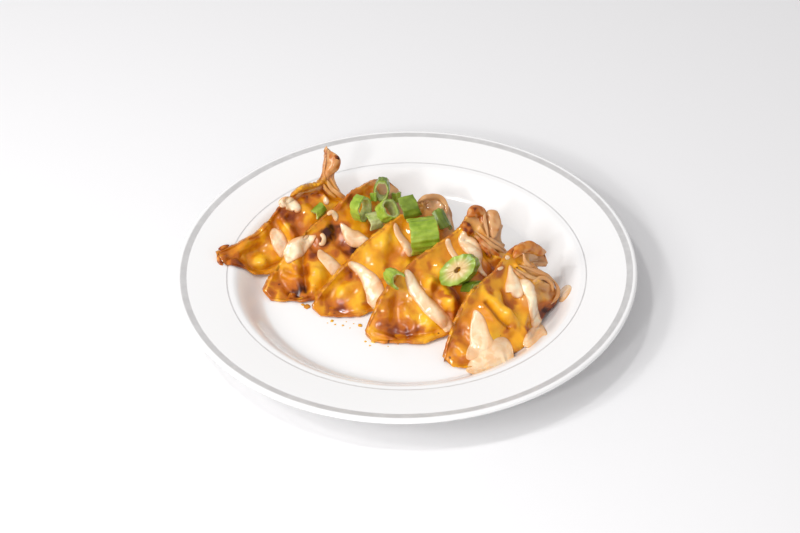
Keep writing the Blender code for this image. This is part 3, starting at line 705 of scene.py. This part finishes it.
# %% Paths of the sauce
# (name, thickness, what it lies on, [(x, y, z, half width)]) in mm
SAUCE = [
    ("sauce_1_seal", 1.1, ["gyoza_1"],
     [(-52.9, 29.8, 22.9, 1.7), (-51.3, 31.3, 23.7, 2.9), (-48.8, 32.2, 22.5, 3.3), (-46.1, 31.6, 20.9, 2.3),
      (-45.8, 29.9, 19.5, 1.4)]),
    ("sauce_1_strand", 1.5, ["gyoza_1"],
     [(-56.1, 23.4, 17.1, 1.1), (-55.2, 21.7, 15.4, 2.6), (-53.6, 19.1, 12.8, 3.2), (-52.1, 16.4, 10.1, 3.0),
      (-51.9, 14.3, 7.5, 2.6)]),
    ("sauce_1_drop", 0.6, ["gyoza_1"],
     [(-34.2, 39.7, 21.0, 0.6), (-33.7, 37.8, 19.5, 1.4), (-33.4, 36.6, 18.4, 0.6)]),
    ("sauce_2_patch", 1.2, ["gyoza_2"],
     [(-37.3, 15.5, 18.4, 0.9), (-40.6, 13.2, 17.8, 2.6), (-44.9, 10.2, 16.8, 4.1), (-48.1, 7.0, 14.8, 3.4),
      (-49.6, 4.3, 12.6, 1.3)]),
    ("sauce_2_lobe", 0.7, ["gyoza_2"],
     [(-35.7, 16.6, 18.8, 1.3), (-34.3, 15.1, 17.5, 1.1), (-34.8, 12.9, 16.3, 1.1),
      (-36.6, 12.1, 16.2, 0.7)]),
    ("sauce_2_hook", 0.7, ["gyoza_2"],
     [(-32.9, 22.8, 23.4, 1.0), (-31.0, 24.2, 23.8, 1.1), (-29.5, 23.9, 22.3, 1.3),
      (-29.2, 21.9, 20.5, 0.8)]),
    ("sauce_2_strand", 0.9, ["gyoza_2"],
     [(-36.6, 10.5, 15.2, 1.1), (-35.3, 8.2, 13.6, 2.1), (-32.3, 5.6, 11.4, 2.6), (-28.8, 3.3, 8.8, 2.8),
      (-26.4, 2.1, 6.2, 2.1)]),
    ("sauce_2_upper", 0.9, ["gyoza_2"],
     [(-27.7, 22.1, 20.2, 0.8), (-25.0, 19.3, 17.6, 2.2), (-22.2, 17.3, 15.3, 3.9), (-18.0, 17.1, 13.6, 2.8),
      (-13.4, 17.8, 11.8, 1.3)]),
    ("sauce_3_strand", 1.2, ["gyoza_3"],
     [(-24.1, 0.6, 15.4, 1.3), (-22.1, -0.1, 14.4, 1.9), (-18.0, -3.1, 12.6, 2.8), (-14.3, -7.5, 10.1, 3.8),
      (-12.6, -12.7, 7.2, 4.3), (-11.9, -16.5, 3.9, 3.8)]),
    ("sauce_3_upper", 0.9, ["gyoza_3"],
     [(-4.3, 17.7, 22.9, 1.0), (-3.4, 14.6, 20.0, 1.4), (-1.1, 11.4, 17.8, 1.8), (1.1, 8.5, 15.7, 2.0),
      (2.6, 5.3, 13.7, 2.4)]),
    ("sauce_4_strand", 1.3, ["gyoza_4", "plate"],
     [(-0.3, -12.4, 21.7, 1.7), (1.3, -14.6, 19.2, 2.1), (3.4, -19.6, 16.1, 2.8), (7.3, -23.9, 13.2, 3.0),
      (12.0, -27.7, 10.4, 3.0), (15.4, -30.7, 6.9, 2.6), (15.8, -31.8, 4.1, 2.1)]),
    ("sauce_4_middle", 0.7, ["gyoza_4"],
     [(17.4, 2.8, 25.5, 1.1), (17.5, 1.0, 23.5, 1.4), (19.2, -1.8, 21.1, 1.4), (21.4, -4.2, 19.4, 1.4)]),
    ("sauce_4_upper", 1.2, ["gyoza_4"],
     [(24.2, 7.0, 26.2, 0.9), (24.1, 4.6, 23.5, 2.6), (26.4, 2.7, 21.4, 3.6), (28.6, 0.7, 19.4, 2.9),
      (29.2, -3.6, 17.0, 1.7), (30.6, -6.4, 15.1, 1.2), (33.2, -8.3, 13.1, 0.7)]),
    ("sauce_5_patch", 1.3, ["gyoza_5"],
     [(41.6, -15.5, 25.5, 0.9), (42.1, -18.2, 22.4, 1.9), (42.9, -21.1, 19.7, 3.6), (43.6, -23.6, 17.5, 3.8),
      (42.7, -25.8, 16.7, 1.3)]),
    ("sauce_5_stream", 1.2, ["gyoza_5", "plate"],
     [(44.7, -19.3, 20.1, 2.0), (47.9, -19.9, 17.8, 2.8), (49.9, -23.0, 14.2, 2.3), (50.8, -26.5, 10.3, 2.3),
      (51.6, -28.6, 6.7, 2.3), (53.0, -28.4, 3.3, 3.5)]),
    ("sauce_5_side_pool", 0.8, ["gyoza_5", "plate"],
     [(45.6, -40.4, 3.5, 1.1), (48.4, -36.7, 3.5, 2.6), (52.3, -31.7, 3.6, 3.2),
      (55.5, -34.0, 6.9, 2.6)]),
    ("sauce_5_wash", 0.9, ["gyoza_5", "plate"],
     [(26.6, -34.9, 19.1, 1.2), (27.8, -38.1, 15.9, 3.1), (28.2, -41.8, 12.4, 4.2),
      (29.0, -45.2, 9.6, 5.2), (30.2, -47.8, 7.2, 5.6)]),
    ("sauce_5_wash_foot", 0.9, ["gyoza_5", "plate"],
     [(26.7, -44.2, 10.7, 1.5), (26.1, -47.6, 7.9, 3.2), (26.3, -50.7, 5.3, 3.8)]),
    ("sauce_5_front_pool", 0.9, ["gyoza_5", "plate"],
     [(22.1, -54.0, 3.0, 1.1), (26.4, -50.6, 3.0, 3.8), (31.5, -47.6, 3.0, 6.2),
      (37.3, -43.6, 3.0, 7.3), (41.9, -43.6, 3.4, 4.7)]),
    ("sauce_5_far_smear", 0.5, ["plate"],
     [(62.3, -17.5, 6.5, 0.9), (64.7, -12.7, 7.7, 1.7), (67.3, -10.1, 9.8, 1.1)]),
    ("sauce_5_seal_drop", 0.6, ["gyoza_5"],
     [(39.7, -15.3, 28.5, 0.6), (40.7, -14.5, 28.3, 1.0), (41.7, -13.7, 28.1, 0.6)]),
    ("sauce_5_neck_drop", 0.6, ["gyoza_5"],
     [(36.4, -19.3, 26.1, 0.5), (37.8, -18.2, 25.8, 0.8), (39.0, -17.2, 25.8, 0.5)]),
]

# %% [markdown]
# The sauce is smooth and creamy, a little see-through, and glossy while it is wet. Where it runs
# thin at its edges and in the pools, the orange of the chilli oil shows.

# %% The sauce's finish
sauce, shader = new_material("chilli_mayonnaise", ior=1.46, subsurface_weight=0.3,
                             subsurface_radius=(1.0, 0.6, 0.35), subsurface_scale=0.002,
                             coat_weight=0.8, coat_roughness=0.04)
streaks = grain(sauce, 0.005, 3, warp=0.8)
colour = blend_colour(sauce, ramp(sauce, streaks, 0.35, 0.65), (0.87, 0.59, 0.34, 1), (0.93, 0.77, 0.54, 1))
thin_amount = maths(sauce, "MULTIPLY", attribute(sauce, "thin"), ramp(sauce, streaks, 0.2, 0.8, 1.0, 0.6))
paint(sauce, shader,
      colour=blend_colour(sauce, thin_amount, colour, (0.74, 0.35, 0.13, 1)),
      roughness=ramp(sauce, streaks, 0.3, 0.7, 0.14, 0.24))
bump(sauce, [(grain(sauce, 0.004, 2), 0.25, 0.0008)], shader)

# %% [markdown]
# A strand is a ball drawn out along its path. Every point of it is then dropped along one direction,
# the way the dumplings lean, onto what lies under it, and its upper half stands off by the sauce's
# thickness. A little smoothing gives it the roundness of a thick liquid.

# %% Laying the sauce
POUR = Vector((0.0, 0.777, -0.629))
SAUCE_AROUND = 28
MOST_SINK = 5.0
MOST_RISE = 12.0
POOL_THICKNESS = 0.95
POOL_THIN = 0.5
POOL_SMOOTHING = 10
STRAND_SMOOTHING = 3
CAST_FROM = 20
CAST_LENGTH = 60
ALL_AXES = dict(use_axis_x=True, use_axis_y=True, use_axis_z=True)


def lay_sauce(path, thickness, trees, seed):
    """A ball drawn out along the path, then dropped along POUR onto whatever lies under it."""
    blob = bmesh.new()
    bmesh.ops.create_uvsphere(blob, u_segments=SAUCE_AROUND, v_segments=max(24, 12 * len(path)), radius=1.0)
    last = len(path) - 1
    thin = blob.verts.layers.float.new("thin")
    for vert in blob.verts:
        x, y, z = vert.co
        share = 1.0 - math.acos(max(-1.0, min(1.0, z))) / math.pi
        turn = math.atan2(y, x)
        place = share * last
        *centre, half_width = curve_at(path, place)
        step = curve_at(path, min(place + 0.1, last))[:3] - curve_at(path, max(place - 0.1, 0.0))[:3]
        across = Vector(step).cross(POUR).normalized()
        ends = math.sqrt(max(0.0, 1 - abs(2 * share - 1) ** 5))
        edge_noise = noise.noise(Vector(centre) / 6.0 + Vector((seed, 0, 1.5 * math.cos(turn))))
        spot = Vector(centre) + across * half_width * ends * (1 + 0.25 * edge_noise) * math.cos(turn)
        hits = [tree.ray_cast((spot - POUR * CAST_FROM) * MM, POUR, CAST_LENGTH * MM) for tree in trees]
        hits = [(distance, hit, normal) for hit, normal, _, distance in hits if hit is not None]
        sink, stand = 0.0, -POUR
        if hits:
            distance, hit, normal = min(hits, key=lambda found: found[0])
            sink = max(-MOST_RISE, min(MOST_SINK, (hit / MM - spot).dot(POUR)))
            stand = (normal - 0.6 * POUR).normalized()
        rise = math.copysign(abs(math.sin(turn)) ** 0.9, math.sin(turn))
        height = thickness * ends * (rise if rise > 0 else 0.4 * rise)
        height *= 1 + 0.25 * noise.noise(spot / 4.0 + Vector((seed, 5, 0)))
        thinness = smoothstep(0.35, 1.0, max(abs(math.cos(turn)), abs(2 * share - 1) ** 2))
        vert[thin] = max(thinness, POOL_THIN if thickness < POOL_THICKNESS else 0.0)
        vert.co = (spot + POUR * sink + stand * height) * MM
    for _ in range(POOL_SMOOTHING if thickness < POOL_THICKNESS else STRAND_SMOOTHING):
        bmesh.ops.smooth_vert(blob, verts=blob.verts, factor=0.5, **ALL_AXES)
    bmesh.ops.recalc_face_normals(blob, faces=blob.faces)
    return blob


trees = {name: BVHTree.FromBMesh(mesh) for name, mesh in gyoza_meshes.items()}
trees["plate"] = BVHTree.FromBMesh(plate)
for number, (name, thickness, lies_on, path) in enumerate(SAUCE):
    show(name, lay_sauce(path, thickness, [trees[under] for under in lies_on], number * 3.1), [sauce])

# %% [markdown]
# ## The spring onion
# Spring onion is a hollow tube. Cut across, it falls into rings, half rings and curled flaps, with
# a bright ribbed skin outside and a pale film inside. Each piece is a short tube or a bent strip,
# given a wall by solidify, ribbed, squashed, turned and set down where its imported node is.

# %% The cut pieces
ONION_WALL = 1.3
ONIONS = [
    dict(radius=3.2, length=5.6, arc=150, facing=(48, 14), spin=-141, squash=0.8, dark=0.35, slant=0.35),
    dict(radius=5.9, length=4.8, arc=360, facing=(-40, 12), spin=0, squash=0.72, dark=0.1),
    dict(radius=6.4, length=5.6, arc=105, facing=(28, -5), spin=-140, squash=0.8, wall=0.9, dark=0.0,
         film=0.8),
    dict(radius=5.0, length=4.2, arc=360, facing=(-96, 8), spin=0, squash=0.66, dark=0.7),
    dict(radius=4.7, length=5.0, arc=360, facing=(-25, 50), spin=0, squash=0.9, dark=0.2),
    dict(radius=2.3, length=4.4, arc=180, facing=(90, 70), spin=180, squash=0.9, dark=0.2),
    dict(radius=1.5, length=3.6, arc=170, facing=(100, 60), spin=180, squash=1.0, dark=0.1),
    dict(radius=8.0, length=7.4, arc=74, facing=(15, 5), spin=-125, squash=1.0, dark=0.8, slant=0.25),
    dict(radius=8.4, length=11.0, arc=185, facing=(5, 4), spin=-127, squash=0.9, dark=0.15, slant=0.2),
    dict(radius=4.8, length=8.6, arc=140, facing=(-60, -30), spin=150, squash=0.8, dark=0.8, slant=0.25),
    dict(radius=5.4, length=4.6, arc=360, facing=(-120, 38), spin=50, squash=1.62, wall=4.4, dark=0.3,
         slant=0.0, sway=0.25, rind=2.8, flesh=1.0),
    dict(radius=4.6, length=7.6, arc=190, facing=(-50, 30), spin=150, squash=0.8, dark=1.0,
         nudge=(0.5, -7.0, 0.0)),
    dict(radius=4.6, length=6.6, arc=195, facing=(-60, 15), spin=225, squash=0.75, dark=0.2, slant=0.3),
]


def bent_strip(spec, steps, wall):
    """A tube, or where arc is under 360 a strip bent round the tube's axis, with a wall. In mm."""
    piece = bmesh.new()
    radius, length, arc = spec["radius"], spec["length"], spec["arc"]
    if arc == 360:
        bmesh.ops.create_cone(piece, cap_ends=False, segments=steps, radius1=radius, radius2=radius,
                              depth=length)
    else:
        bmesh.ops.create_grid(piece, x_segments=steps, y_segments=1, size=1.0)
        for vert in piece.verts:
            angle = math.radians(arc / 2 * vert.co.x)
            vert.co = Vector((radius * math.cos(angle), radius * math.sin(angle), length / 2 * vert.co.y))
    piece.normal_update()
    bmesh.ops.solidify(piece, geom=piece.faces[:], thickness=wall)
    sharp = [edge for edge in piece.edges if len(edge.link_faces) == 2 and edge.calc_face_angle(0) > 0.9]
    bmesh.ops.bevel(piece, geom=sharp, offset=0.2, segments=2, profile=0.5, affect="EDGES", material=-1)
    long_edges = [edge for edge in piece.edges if abs(edge.verts[0].co.z - edge.verts[1].co.z) > length / 2]
    bmesh.ops.subdivide_edges(piece, edges=long_edges, cuts=9, use_grid_fill=True)
    return piece


def turn_to(piece, spec):
    """Squashes a piece, spins it round its own axis and points that axis at its facing."""
    azimuth, elevation = [math.radians(angle) for angle in spec["facing"]]
    squash = Matrix.Diagonal((1.0, spec["squash"], 1.0, 1.0))
    spin = Matrix.Rotation(math.radians(spec["spin"]), 4, "Z")
    tilt = Matrix.Rotation(math.pi / 2 - elevation, 4, "Y")
    turn = Matrix.Rotation(azimuth, 4, "Z")
    bmesh.ops.transform(piece, matrix=turn @ tilt @ spin @ squash, verts=piece.verts)


def make_onion(spec, seed):
    """One cut piece round the origin, in mm, with its colours stored as attributes."""
    radius, wall = spec["radius"], spec.get("wall", ONION_WALL)
    piece = bent_strip(spec, max(26, int(spec["arc"] * radius / 12)), wall)
    skin = piece.verts.layers.float.new("skin")
    darkness = piece.verts.layers.float.new("dark")
    flesh = piece.verts.layers.float.new("flesh")
    for vert in piece.verts:
        angle = math.atan2(vert.co.y, vert.co.x)
        depth = radius - vert.co.xy.length
        vert[skin] = max(0.0, 1.0 - depth / min(wall, spec.get("rind", 1.1))) * (1 - spec.get("film", 0.0))
        vert[darkness] = spec["dark"]
        vert[flesh] = spec.get("flesh", 0.0)
        around = Vector((math.cos(angle), math.sin(angle), seed))
        rib = 0.10 * math.sin(angle * radius * 2.4 + seed) * max(0.0, 1 - depth)
        sway = spec.get("sway", 0.8) * noise.noise(around * 1.3) + 0.25 * noise.noise(vert.co / 2.2 + around)
        lean = spec.get("slant", 0.12) * math.sin(angle + seed)
        vert.co.xy *= 1 + (rib + sway) / radius
        vert.co.z *= 1 + 0.18 * noise.noise(around * 2.2 + Vector((3, 0, 0)))
        vert.co.z += lean * radius * 0.6
    turn_to(piece, spec)
    return piece


MOST_DROP = 8 * MM
resting_trees = [tree for name, tree in trees.items() if name.startswith("gyoza")]


def set_down(piece, node, nudge=(0.0, 0.0, 0.0)):
    """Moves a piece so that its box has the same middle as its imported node's, nudges it, and
    lets it down along POUR until it touches what lies there. Returns how far it came down in mm."""
    low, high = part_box(node)
    spots = np.array([vert.co for vert in piece.verts]) * MM
    middle = (spots.min(0) + spots.max(0)) / 2
    shift = (low + high) / 2 - Vector(middle) + Vector(nudge) * MM
    bmesh.ops.scale(piece, vec=(MM, MM, MM), verts=piece.verts)
    bmesh.ops.translate(piece, vec=shift, verts=piece.verts)
    gaps = [tree.ray_cast(vert.co, POUR, MOST_DROP)[3] for vert in piece.verts for tree in resting_trees]
    gap = min([gap for gap in gaps if gap is not None], default=0.0)
    bmesh.ops.translate(piece, vec=POUR * gap, verts=piece.verts)
    resting_trees.append(BVHTree.FromBMesh(piece))
    return gap / MM

# %% [markdown]
# The skin is mottled green, deeper on some pieces. The film inside is pale green, and the flesh of
# the solid disc is cream. How near a spot is to the outside decides between skin and film.

# %% The onion's finish
onion, shader = new_material("spring_onion", ior=1.42, subsurface_weight=0.15,
                             subsurface_radius=(0.8, 1.0, 0.2), subsurface_scale=0.0015,
                             coat_weight=0.3, coat_roughness=0.15)
patches = grain(onion, 0.005, 4)
skin_colour = blend_colour(onion, ramp(onion, patches, 0.3, 0.7),
                           (0.21, 0.33, 0.012, 1), (0.42, 0.54, 0.06, 1))
deep_colour = blend_colour(onion, ramp(onion, patches, 0.3, 0.7),
                           (0.05, 0.085, 0.003, 1), (0.16, 0.23, 0.014, 1))
skin_colour = blend_colour(onion, attribute(onion, "dark"), skin_colour, deep_colour)
film_colour = blend_colour(onion, ramp(onion, patches, 0.35, 0.75),
                           (0.34, 0.43, 0.09, 1), (0.62, 0.62, 0.31, 1))
film_colour = blend_colour(onion, attribute(onion, "flesh"), film_colour, (0.62, 0.44, 0.19, 1))
paint(onion, shader,
      colour=blend_colour(onion, ramp(onion, attribute(onion, "skin"), 0.2, 0.85), film_colour, skin_colour),
      roughness=ramp(onion, patches, 0.3, 0.7, 0.3, 0.45))
bump(onion, [(grain(onion, 0.0012, 3), 0.2, 0.0003)], shader)

# %% [markdown]
# The pieces are made and set down in turn, so that a later one comes to rest on the earlier ones.

# %% All thirteen pieces
for number, spec in enumerate(ONIONS, start=1):
    piece = make_onion(spec, number * 2.3)
    drop = set_down(piece, f"spring_onion_{number}", spec.get("nudge", (0.0, 0.0, 0.0)))
    print(f"onion {number} came down {drop:.1f} mm")
    show(f"cut_onion_{number}", piece, [onion], f"spring_onion_{number}")

# %% [markdown]
# ## Twisted tails
# Where the wrapper's corners were pinched together the dough stands in rolled lips and narrow
# pleats that fan out over the back. They lie on the tails as drawn out balls: each follows a path
# and is flatter than it is wide, with grooves that turn slowly along it.
# One dark roll is painted shade inside the first gyoza's tail hollow.

# %% Paths of the rolls and pleats
# (name, thickness over width, how pale, how toasted, [(x, y, z, half width)]) in mm; the tail hollow's toast
# is painted shade
ROLLS = [
    ("tail_flap_4", 0.7, 0.9, 0.15,
     [(34.6, 13.9, 31.0, 2.1), (36.1, 12.5, 27.8, 3.3), (36.5, 9.5, 25.3, 3.0),
      (36.4, 5.5, 22.3, 1.1)]),
    ("tail_knot_4", 0.7, 0.8, 0.5,
     [(25.4, 9.5, 31.4, 1.4), (28.5, 11.4, 32.4, 2.5), (31.6, 12.2, 30.2, 2.2),
      (31.9, 9.0, 27.2, 1.4)]),
    ("tail_lobe_4", 0.6, 0.7, 0.7,
     [(24.0, 8.0, 29.9, 1.1), (25.3, 7.1, 27.2, 2.0), (28.0, 5.8, 24.8, 1.4)]),
    ("tail_strip_4", 0.7, 1, 0.1,
     [(32.3, 12.0, 31.8, 0.5), (33.0, 8.9, 28.0, 0.8), (34.3, 4.6, 23.4, 0.4)]),
    ("pleat_4_upper", 0.8, 1, 0,
     [(32.9, 6.3, 24.3, 0.4), (37.4, 4.8, 20.7, 0.7), (42.6, 5.2, 15.3, 0.3)]),
    ("pleat_4_middle", 0.7, 0.9, 0.1,
     [(28.8, 6.9, 25.8, 0.4), (32.8, 5.0, 22.8, 0.8), (37.1, 3.4, 19.6, 0.8),
      (42.2, 4.8, 14.7, 0.4)]),
    ("pleat_4_lower", 0.7, 0.9, 0.3,
     [(28.3, 6.0, 24.7, 0.7), (31.9, 3.8, 21.6, 1.1), (35.9, 1.9, 18.6, 1.2),
      (40.5, 0.7, 14.8, 0.5)]),
    ("pleat_4_side", 0.7, 0.6, 0.6,
     [(30.3, 4.2, 22.1, 0.7), (32.7, 2.1, 19.6, 1.1), (35.0, -0.1, 17.1, 0.8)]),
    ("tail_hook_5", 0.7, 0.35, 0.3,
     [(43.2, -14.1, 27.4, 1.2), (45.6, -11.0, 29.2, 2.1), (49.8, -7.5, 27.9, 2.5),
      (54.0, -5.2, 23.9, 2.5), (57.6, -3.1, 21.8, 1.2)]),
    ("tail_lip_5", 0.7, 0.9, 0.1,
     [(47.2, -12.0, 28.6, 0.4), (47.9, -14.0, 26.1, 0.7), (50.0, -14.7, 24.0, 0.7),
      (52.3, -13.6, 23.3, 0.3)]),
    ("pleat_5_upper", 0.7, 0.9, 0,
     [(45.4, -15.3, 24.6, 0.4), (50.6, -14.5, 22.2, 0.8), (56.1, -13.6, 18.4, 1.0),
      (61.1, -13.0, 13.0, 0.4)]),
    ("pleat_5_middle", 0.7, 0.9, 0.1,
     [(44.0, -16.5, 24.2, 0.4), (48.0, -17.1, 21.2, 0.8), (52.1, -16.6, 19.1, 0.8),
      (57.7, -13.7, 16.1, 0.4)]),
    ("pleat_5_lower", 0.7, 0.9, 0.2,
     [(42.9, -16.9, 24.3, 0.4), (45.7, -17.9, 21.9, 0.7), (49.3, -19.1, 18.7, 0.4)]),
    ("pocket_lip_5", 0.7, 0.8, 0,
     [(50.3, -19.9, 17.6, 0.5), (52.5, -17.0, 18.6, 0.9), (56.0, -15.0, 17.7, 1.0),
      (58.9, -14.8, 14.5, 0.8), (59.6, -16.7, 11.9, 0.4)]),
    ("side_rim_5", 0.7, 0.9, 0.1,
     [(59.5, -12.8, 15.0, 0.4), (61.7, -12.9, 10.8, 0.8), (61.4, -16.2, 8.7, 0.8),
      (58.5, -20.3, 8.1, 0.4)]),
    ("tail_arch_3", 0.8, 0.9, 0.1,
     [(5.2, 25.5, 27.0, 0.7), (8.8, 28.1, 27.6, 1.2), (14.8, 31.4, 25.0, 1.3),
      (17.6, 29.3, 21.8, 1.1), (17.0, 24.7, 19.3, 0.5)]),
    ("tail_curl_1", 0.55, 0.85, 0.25,
     [(-33.2, 43.8, 26.5, 0.9), (-32.7, 44.7, 29.5, 1.7), (-30.3, 46.5, 32.4, 2.7),
      (-30.1, 48.0, 35.0, 2.4), (-32.2, 49.4, 38.3, 0.6)]),
    # A dark, fully toasted roll standing for the painted shade inside the tail's hollow.
    ("tail_hollow_shade_1", 0.5, 0, 1,
     [(-29.9, 47.2, 37.0, 0.4), (-28.5, 47.2, 35.8, 0.7), (-28.0, 47.1, 34.1, 0.4)]),
    ("pleat_1_upper", 0.8, 0.7, 0.1,
     [(-33.3, 43.5, 27.0, 0.6), (-31.3, 42.0, 23.5, 1.0), (-27.6, 40.5, 20.7, 1.0),
      (-24.3, 41.0, 18.1, 0.4)]),
    ("pleat_1_lower", 0.8, 0.5, 0.2,
     [(-35.0, 42.6, 26.0, 0.5), (-32.8, 41.3, 22.3, 0.9), (-29.3, 40.1, 19.7, 0.6)]),
    ("tip_frill_1_left", 0.8, 0.3, 0.75,
     [(-78.6, 8.4, 16.0, 0.5), (-77.7, 5.5, 14.2, 1.0), (-76.3, 1.9, 11.6, 0.6)]),
    ("tip_frill_1_top", 0.8, 0.3, 0.75,
     [(-78.4, 9.7, 17.0, 0.5), (-76.6, 10.8, 16.9, 0.9), (-73.8, 12.4, 16.7, 0.4)]),
    ("tip_frill_1_low", 0.8, 0.3, 0.75,
     [(-76.9, 1.6, 11.2, 0.5), (-74.9, 1.2, 10.5, 0.9), (-72.4, 2.1, 10.7, 0.4)]),
]

# %% [markdown]
# A roll is widest in the middle of its path and closes to a point at both ends. The grooves and a
# little noise keep it from looking like a tube, and the same noise breaks up its browning.

# %% Rolling them
ROLL_AROUND = 32
RINGS_PER_PLACE = 16


def roll_dough(flat, pale, toast_and_shade, path, seed):
    """A ball drawn out along the path; flat is its thickness over its width."""
    roll = bmesh.new()
    bmesh.ops.create_uvsphere(roll, u_segments=ROLL_AROUND, v_segments=RINGS_PER_PLACE * len(path),
                              radius=1.0)
    layers = {kind: roll.verts.layers.float.new(kind) for kind in ("pale", "toast_and_shade", "hollow", "char_and_shade")}
    last = len(path) - 1
    for vert in roll.verts:
        x, y, z = vert.co
        share = 1.0 - math.acos(max(-1.0, min(1.0, z))) / math.pi
        turn = math.atan2(y, x)
        place = share * last
        *centre, half_width = curve_at(path, place)
        step = curve_at(path, min(place + 0.1, last))[:3] - curve_at(path, max(place - 0.1, 0.0))[:3]
        across = Vector(step).cross(POUR).normalized()
        stand = across.cross(Vector(step)).normalized()
        ends = math.sqrt(max(0.0, 1 - abs(2 * share - 1) ** 4))
        spot = Vector(centre)
        groove = math.sin(4 * turn + 5 * share + seed)
        uneven = noise.noise(spot / 3.5 + Vector((seed, turn, 0)))
        size = half_width * ends * (1 + 0.05 * groove + 0.18 * uneven)
        spot += across * size * math.cos(turn) + stand * size * flat * math.sin(turn)
        spot += Vector(noise.noise_vector(spot / 3.0)) * 0.22
        patch = noise.noise(spot / 2.0 + Vector((0, 0, seed)))
        vert[layers["pale"]] = pale
        vert[layers["toast_and_shade"]] = max(0.0, min(1.0, toast_and_shade * (1 + 1.2 * patch) + 0.15 * patch))
        vert[layers["hollow"]] = max(0.0, -groove) * 0.5
        vert[layers["char_and_shade"]] = float(smoothstep(0.35, 0.6, patch)) * toast_and_shade
        vert.co = spot * MM
    bmesh.ops.recalc_face_normals(roll, faces=roll.faces)
    return roll


for number, (name, flat, pale, toast_and_shade, path) in enumerate(ROLLS):
    show(name, roll_dough(flat, pale, toast_and_shade, path, number * 4.7), [dough])

# %% [markdown]
# ## Crumbs and drops of glaze
# A few flakes of crust and drops of glaze have fallen beside the dumplings. Each is a small squashed
# ball on the plate, knocked out of round.

# %% Scattering them
# (x, y, half width in mm, how toasted)
CRUMBS = [(-30.9, -21.8, 0.7, 0.4), (-29.6, -24.0, 0.4, 0.7), (-26.4, -24.7, 0.5, 0.5),
          (-25.0, -22.6, 0.3, 0.3), (-19.4, -25.0, 0.9, 0.8), (-32.7, -23.0, 0.3, 0.4),
          (-13.9, -35.0, 1.0, 0.3), (-17.2, -34.9, 0.5, 0.2), (-15.4, -37.4, 0.4, 0.3),
          (-10.3, -36.0, 0.3, 0.2), (-5.3, -35.3, 0.5, 0.5), (-4.1, -36.8, 0.4, 0.4),
          (-8.1, -38.2, 0.3, 0.3), (-22.0, -23.8, 0.3, 0.4), (-36.2, -12.8, 0.5, 0.8),
          (-41.4, -12.6, 1.3, 1), (-43.1, -11.2, 0.7, 0.9), (17.7, -50.8, 0.6, 0.3),
          (-23.5, -26.4, 0.3, 0.3), (4.3, -36.5, 0.3, 0.3), (65.9, -14.5, 0.5, 0.6),
          (62.8, -16.0, 0.5, 0.5)]
CRUMB_FLATNESS = 0.3
CRUMB_UNEVENNESS = 0.45
crumbs = bmesh.new()
crumb_layers = {kind: crumbs.verts.layers.float.new(kind) for kind in ("toast_and_shade", "yellow")}
for x, y, half_width, toast_and_shade in CRUMBS:
    made = bmesh.ops.create_icosphere(crumbs, subdivisions=3, radius=half_width)
    height = float(plate_height(math.hypot(x, y)))
    for vert in made["verts"]:
        vert.co *= 1 + CRUMB_UNEVENNESS * noise.noise(vert.co / half_width * 1.4 + Vector((x, y, 0)))
        vert.co.z = CRUMB_FLATNESS * (vert.co.z + half_width / 2) + height
        vert.co.xy += Vector((x, y))
        vert.co *= MM
        vert[crumb_layers["toast_and_shade"]] = 0.35 * toast_and_shade
        vert[crumb_layers["yellow"]] = 1 - 0.4 * toast_and_shade
show("crumbs_and_glaze", crumbs, [dough])
print(f"{len(CRUMBS)} crumbs")

# %% [markdown]
# ## Floor, light and camera
# The plate stands on a plain pale table under soft light from the left, bright enough for white to
# stay white. A pale surround fills the shadows.

# %% The table
TABLE_HALF_WIDTH = 3.0


def make_table():
    table = bmesh.new()
    bmesh.ops.create_grid(table, x_segments=1, y_segments=1, size=TABLE_HALF_WIDTH)
    material, shader = new_material("pale_table", base_color=(0.84, 0.835, 0.84, 1), roughness=0.6)
    mesh = bpy.data.meshes.new("table")
    table.to_mesh(mesh)
    mesh.materials.append(material)
    floor = bpy.data.objects.new("table", mesh)
    bpy.context.scene.collection.objects.link(floor)


make_table()

# %% [markdown]
# Two softboxes give the soft shadows to the right. Three small lights add the crisp glints that make
# the glaze look wet. All of them point at the middle of the plate.

# %% Light
def add_softbox(name, place, size, power):
    light = bpy.data.lights.new(name, "AREA")
    light.shape = "SQUARE"
    light.size = size
    light.energy = power
    lamp = bpy.data.objects.new(name, light)
    lamp.location = place
    lamp.rotation_euler = Vector(place).to_track_quat("Z", "Y").to_euler()
    bpy.context.scene.collection.objects.link(lamp)


add_softbox("softbox_left", (-1.00, -0.62, 0.80), 0.55, 7.0)
add_softbox("softbox_front", (-0.30, -1.10, 0.80), 0.80, 2.0)
add_softbox("small_front_light", (-0.28, -0.60, 0.42), 0.07, 1.1)
add_softbox("small_left_light", (-0.56, -0.20, 0.62), 0.075, 1.1)
add_softbox("small_top_light", (-0.33, -0.13, 0.85), 0.09, 1.5)
world = bpy.data.worlds.new("pale_surround")
world.use_nodes = True
surround = world.node_tree.nodes["Background"].inputs
surround["Color"].default_value = (1.0, 0.99, 1.0, 1)
surround["Strength"].default_value = 0.555
bpy.context.scene.world = world
bpy.context.scene.view_settings.view_transform = "Standard"

# %% [markdown]
# The camera looks along +Y from above the near edge, far enough away that the plate shows little
# perspective, and is rolled by about a degree.

# %% Camera
CAMERA_AIM = (-0.00262, 0.01635, 0.0)
CAMERA_DISTANCE = 0.726
CAMERA_ELEVATION = math.radians(38.96)
CAMERA_ROLL = math.radians(-1.27)
FOCAL_LENGTH = 76.5
SENSOR_WIDTH = 36.0
lens = bpy.data.cameras.new("camera")
lens.lens = FOCAL_LENGTH
lens.sensor_width = SENSOR_WIDTH
camera = bpy.data.objects.new("camera", lens)
away = Vector((0, -math.cos(CAMERA_ELEVATION), math.sin(CAMERA_ELEVATION)))
camera.location = Vector(CAMERA_AIM) + away * CAMERA_DISTANCE
camera.rotation_euler = (Matrix.Rotation(math.pi / 2 - CAMERA_ELEVATION, 4, "X")
                         @ Matrix.Rotation(CAMERA_ROLL, 4, "Z")).to_euler()
bpy.context.scene.collection.objects.link(camera)
bpy.context.scene.camera = camera
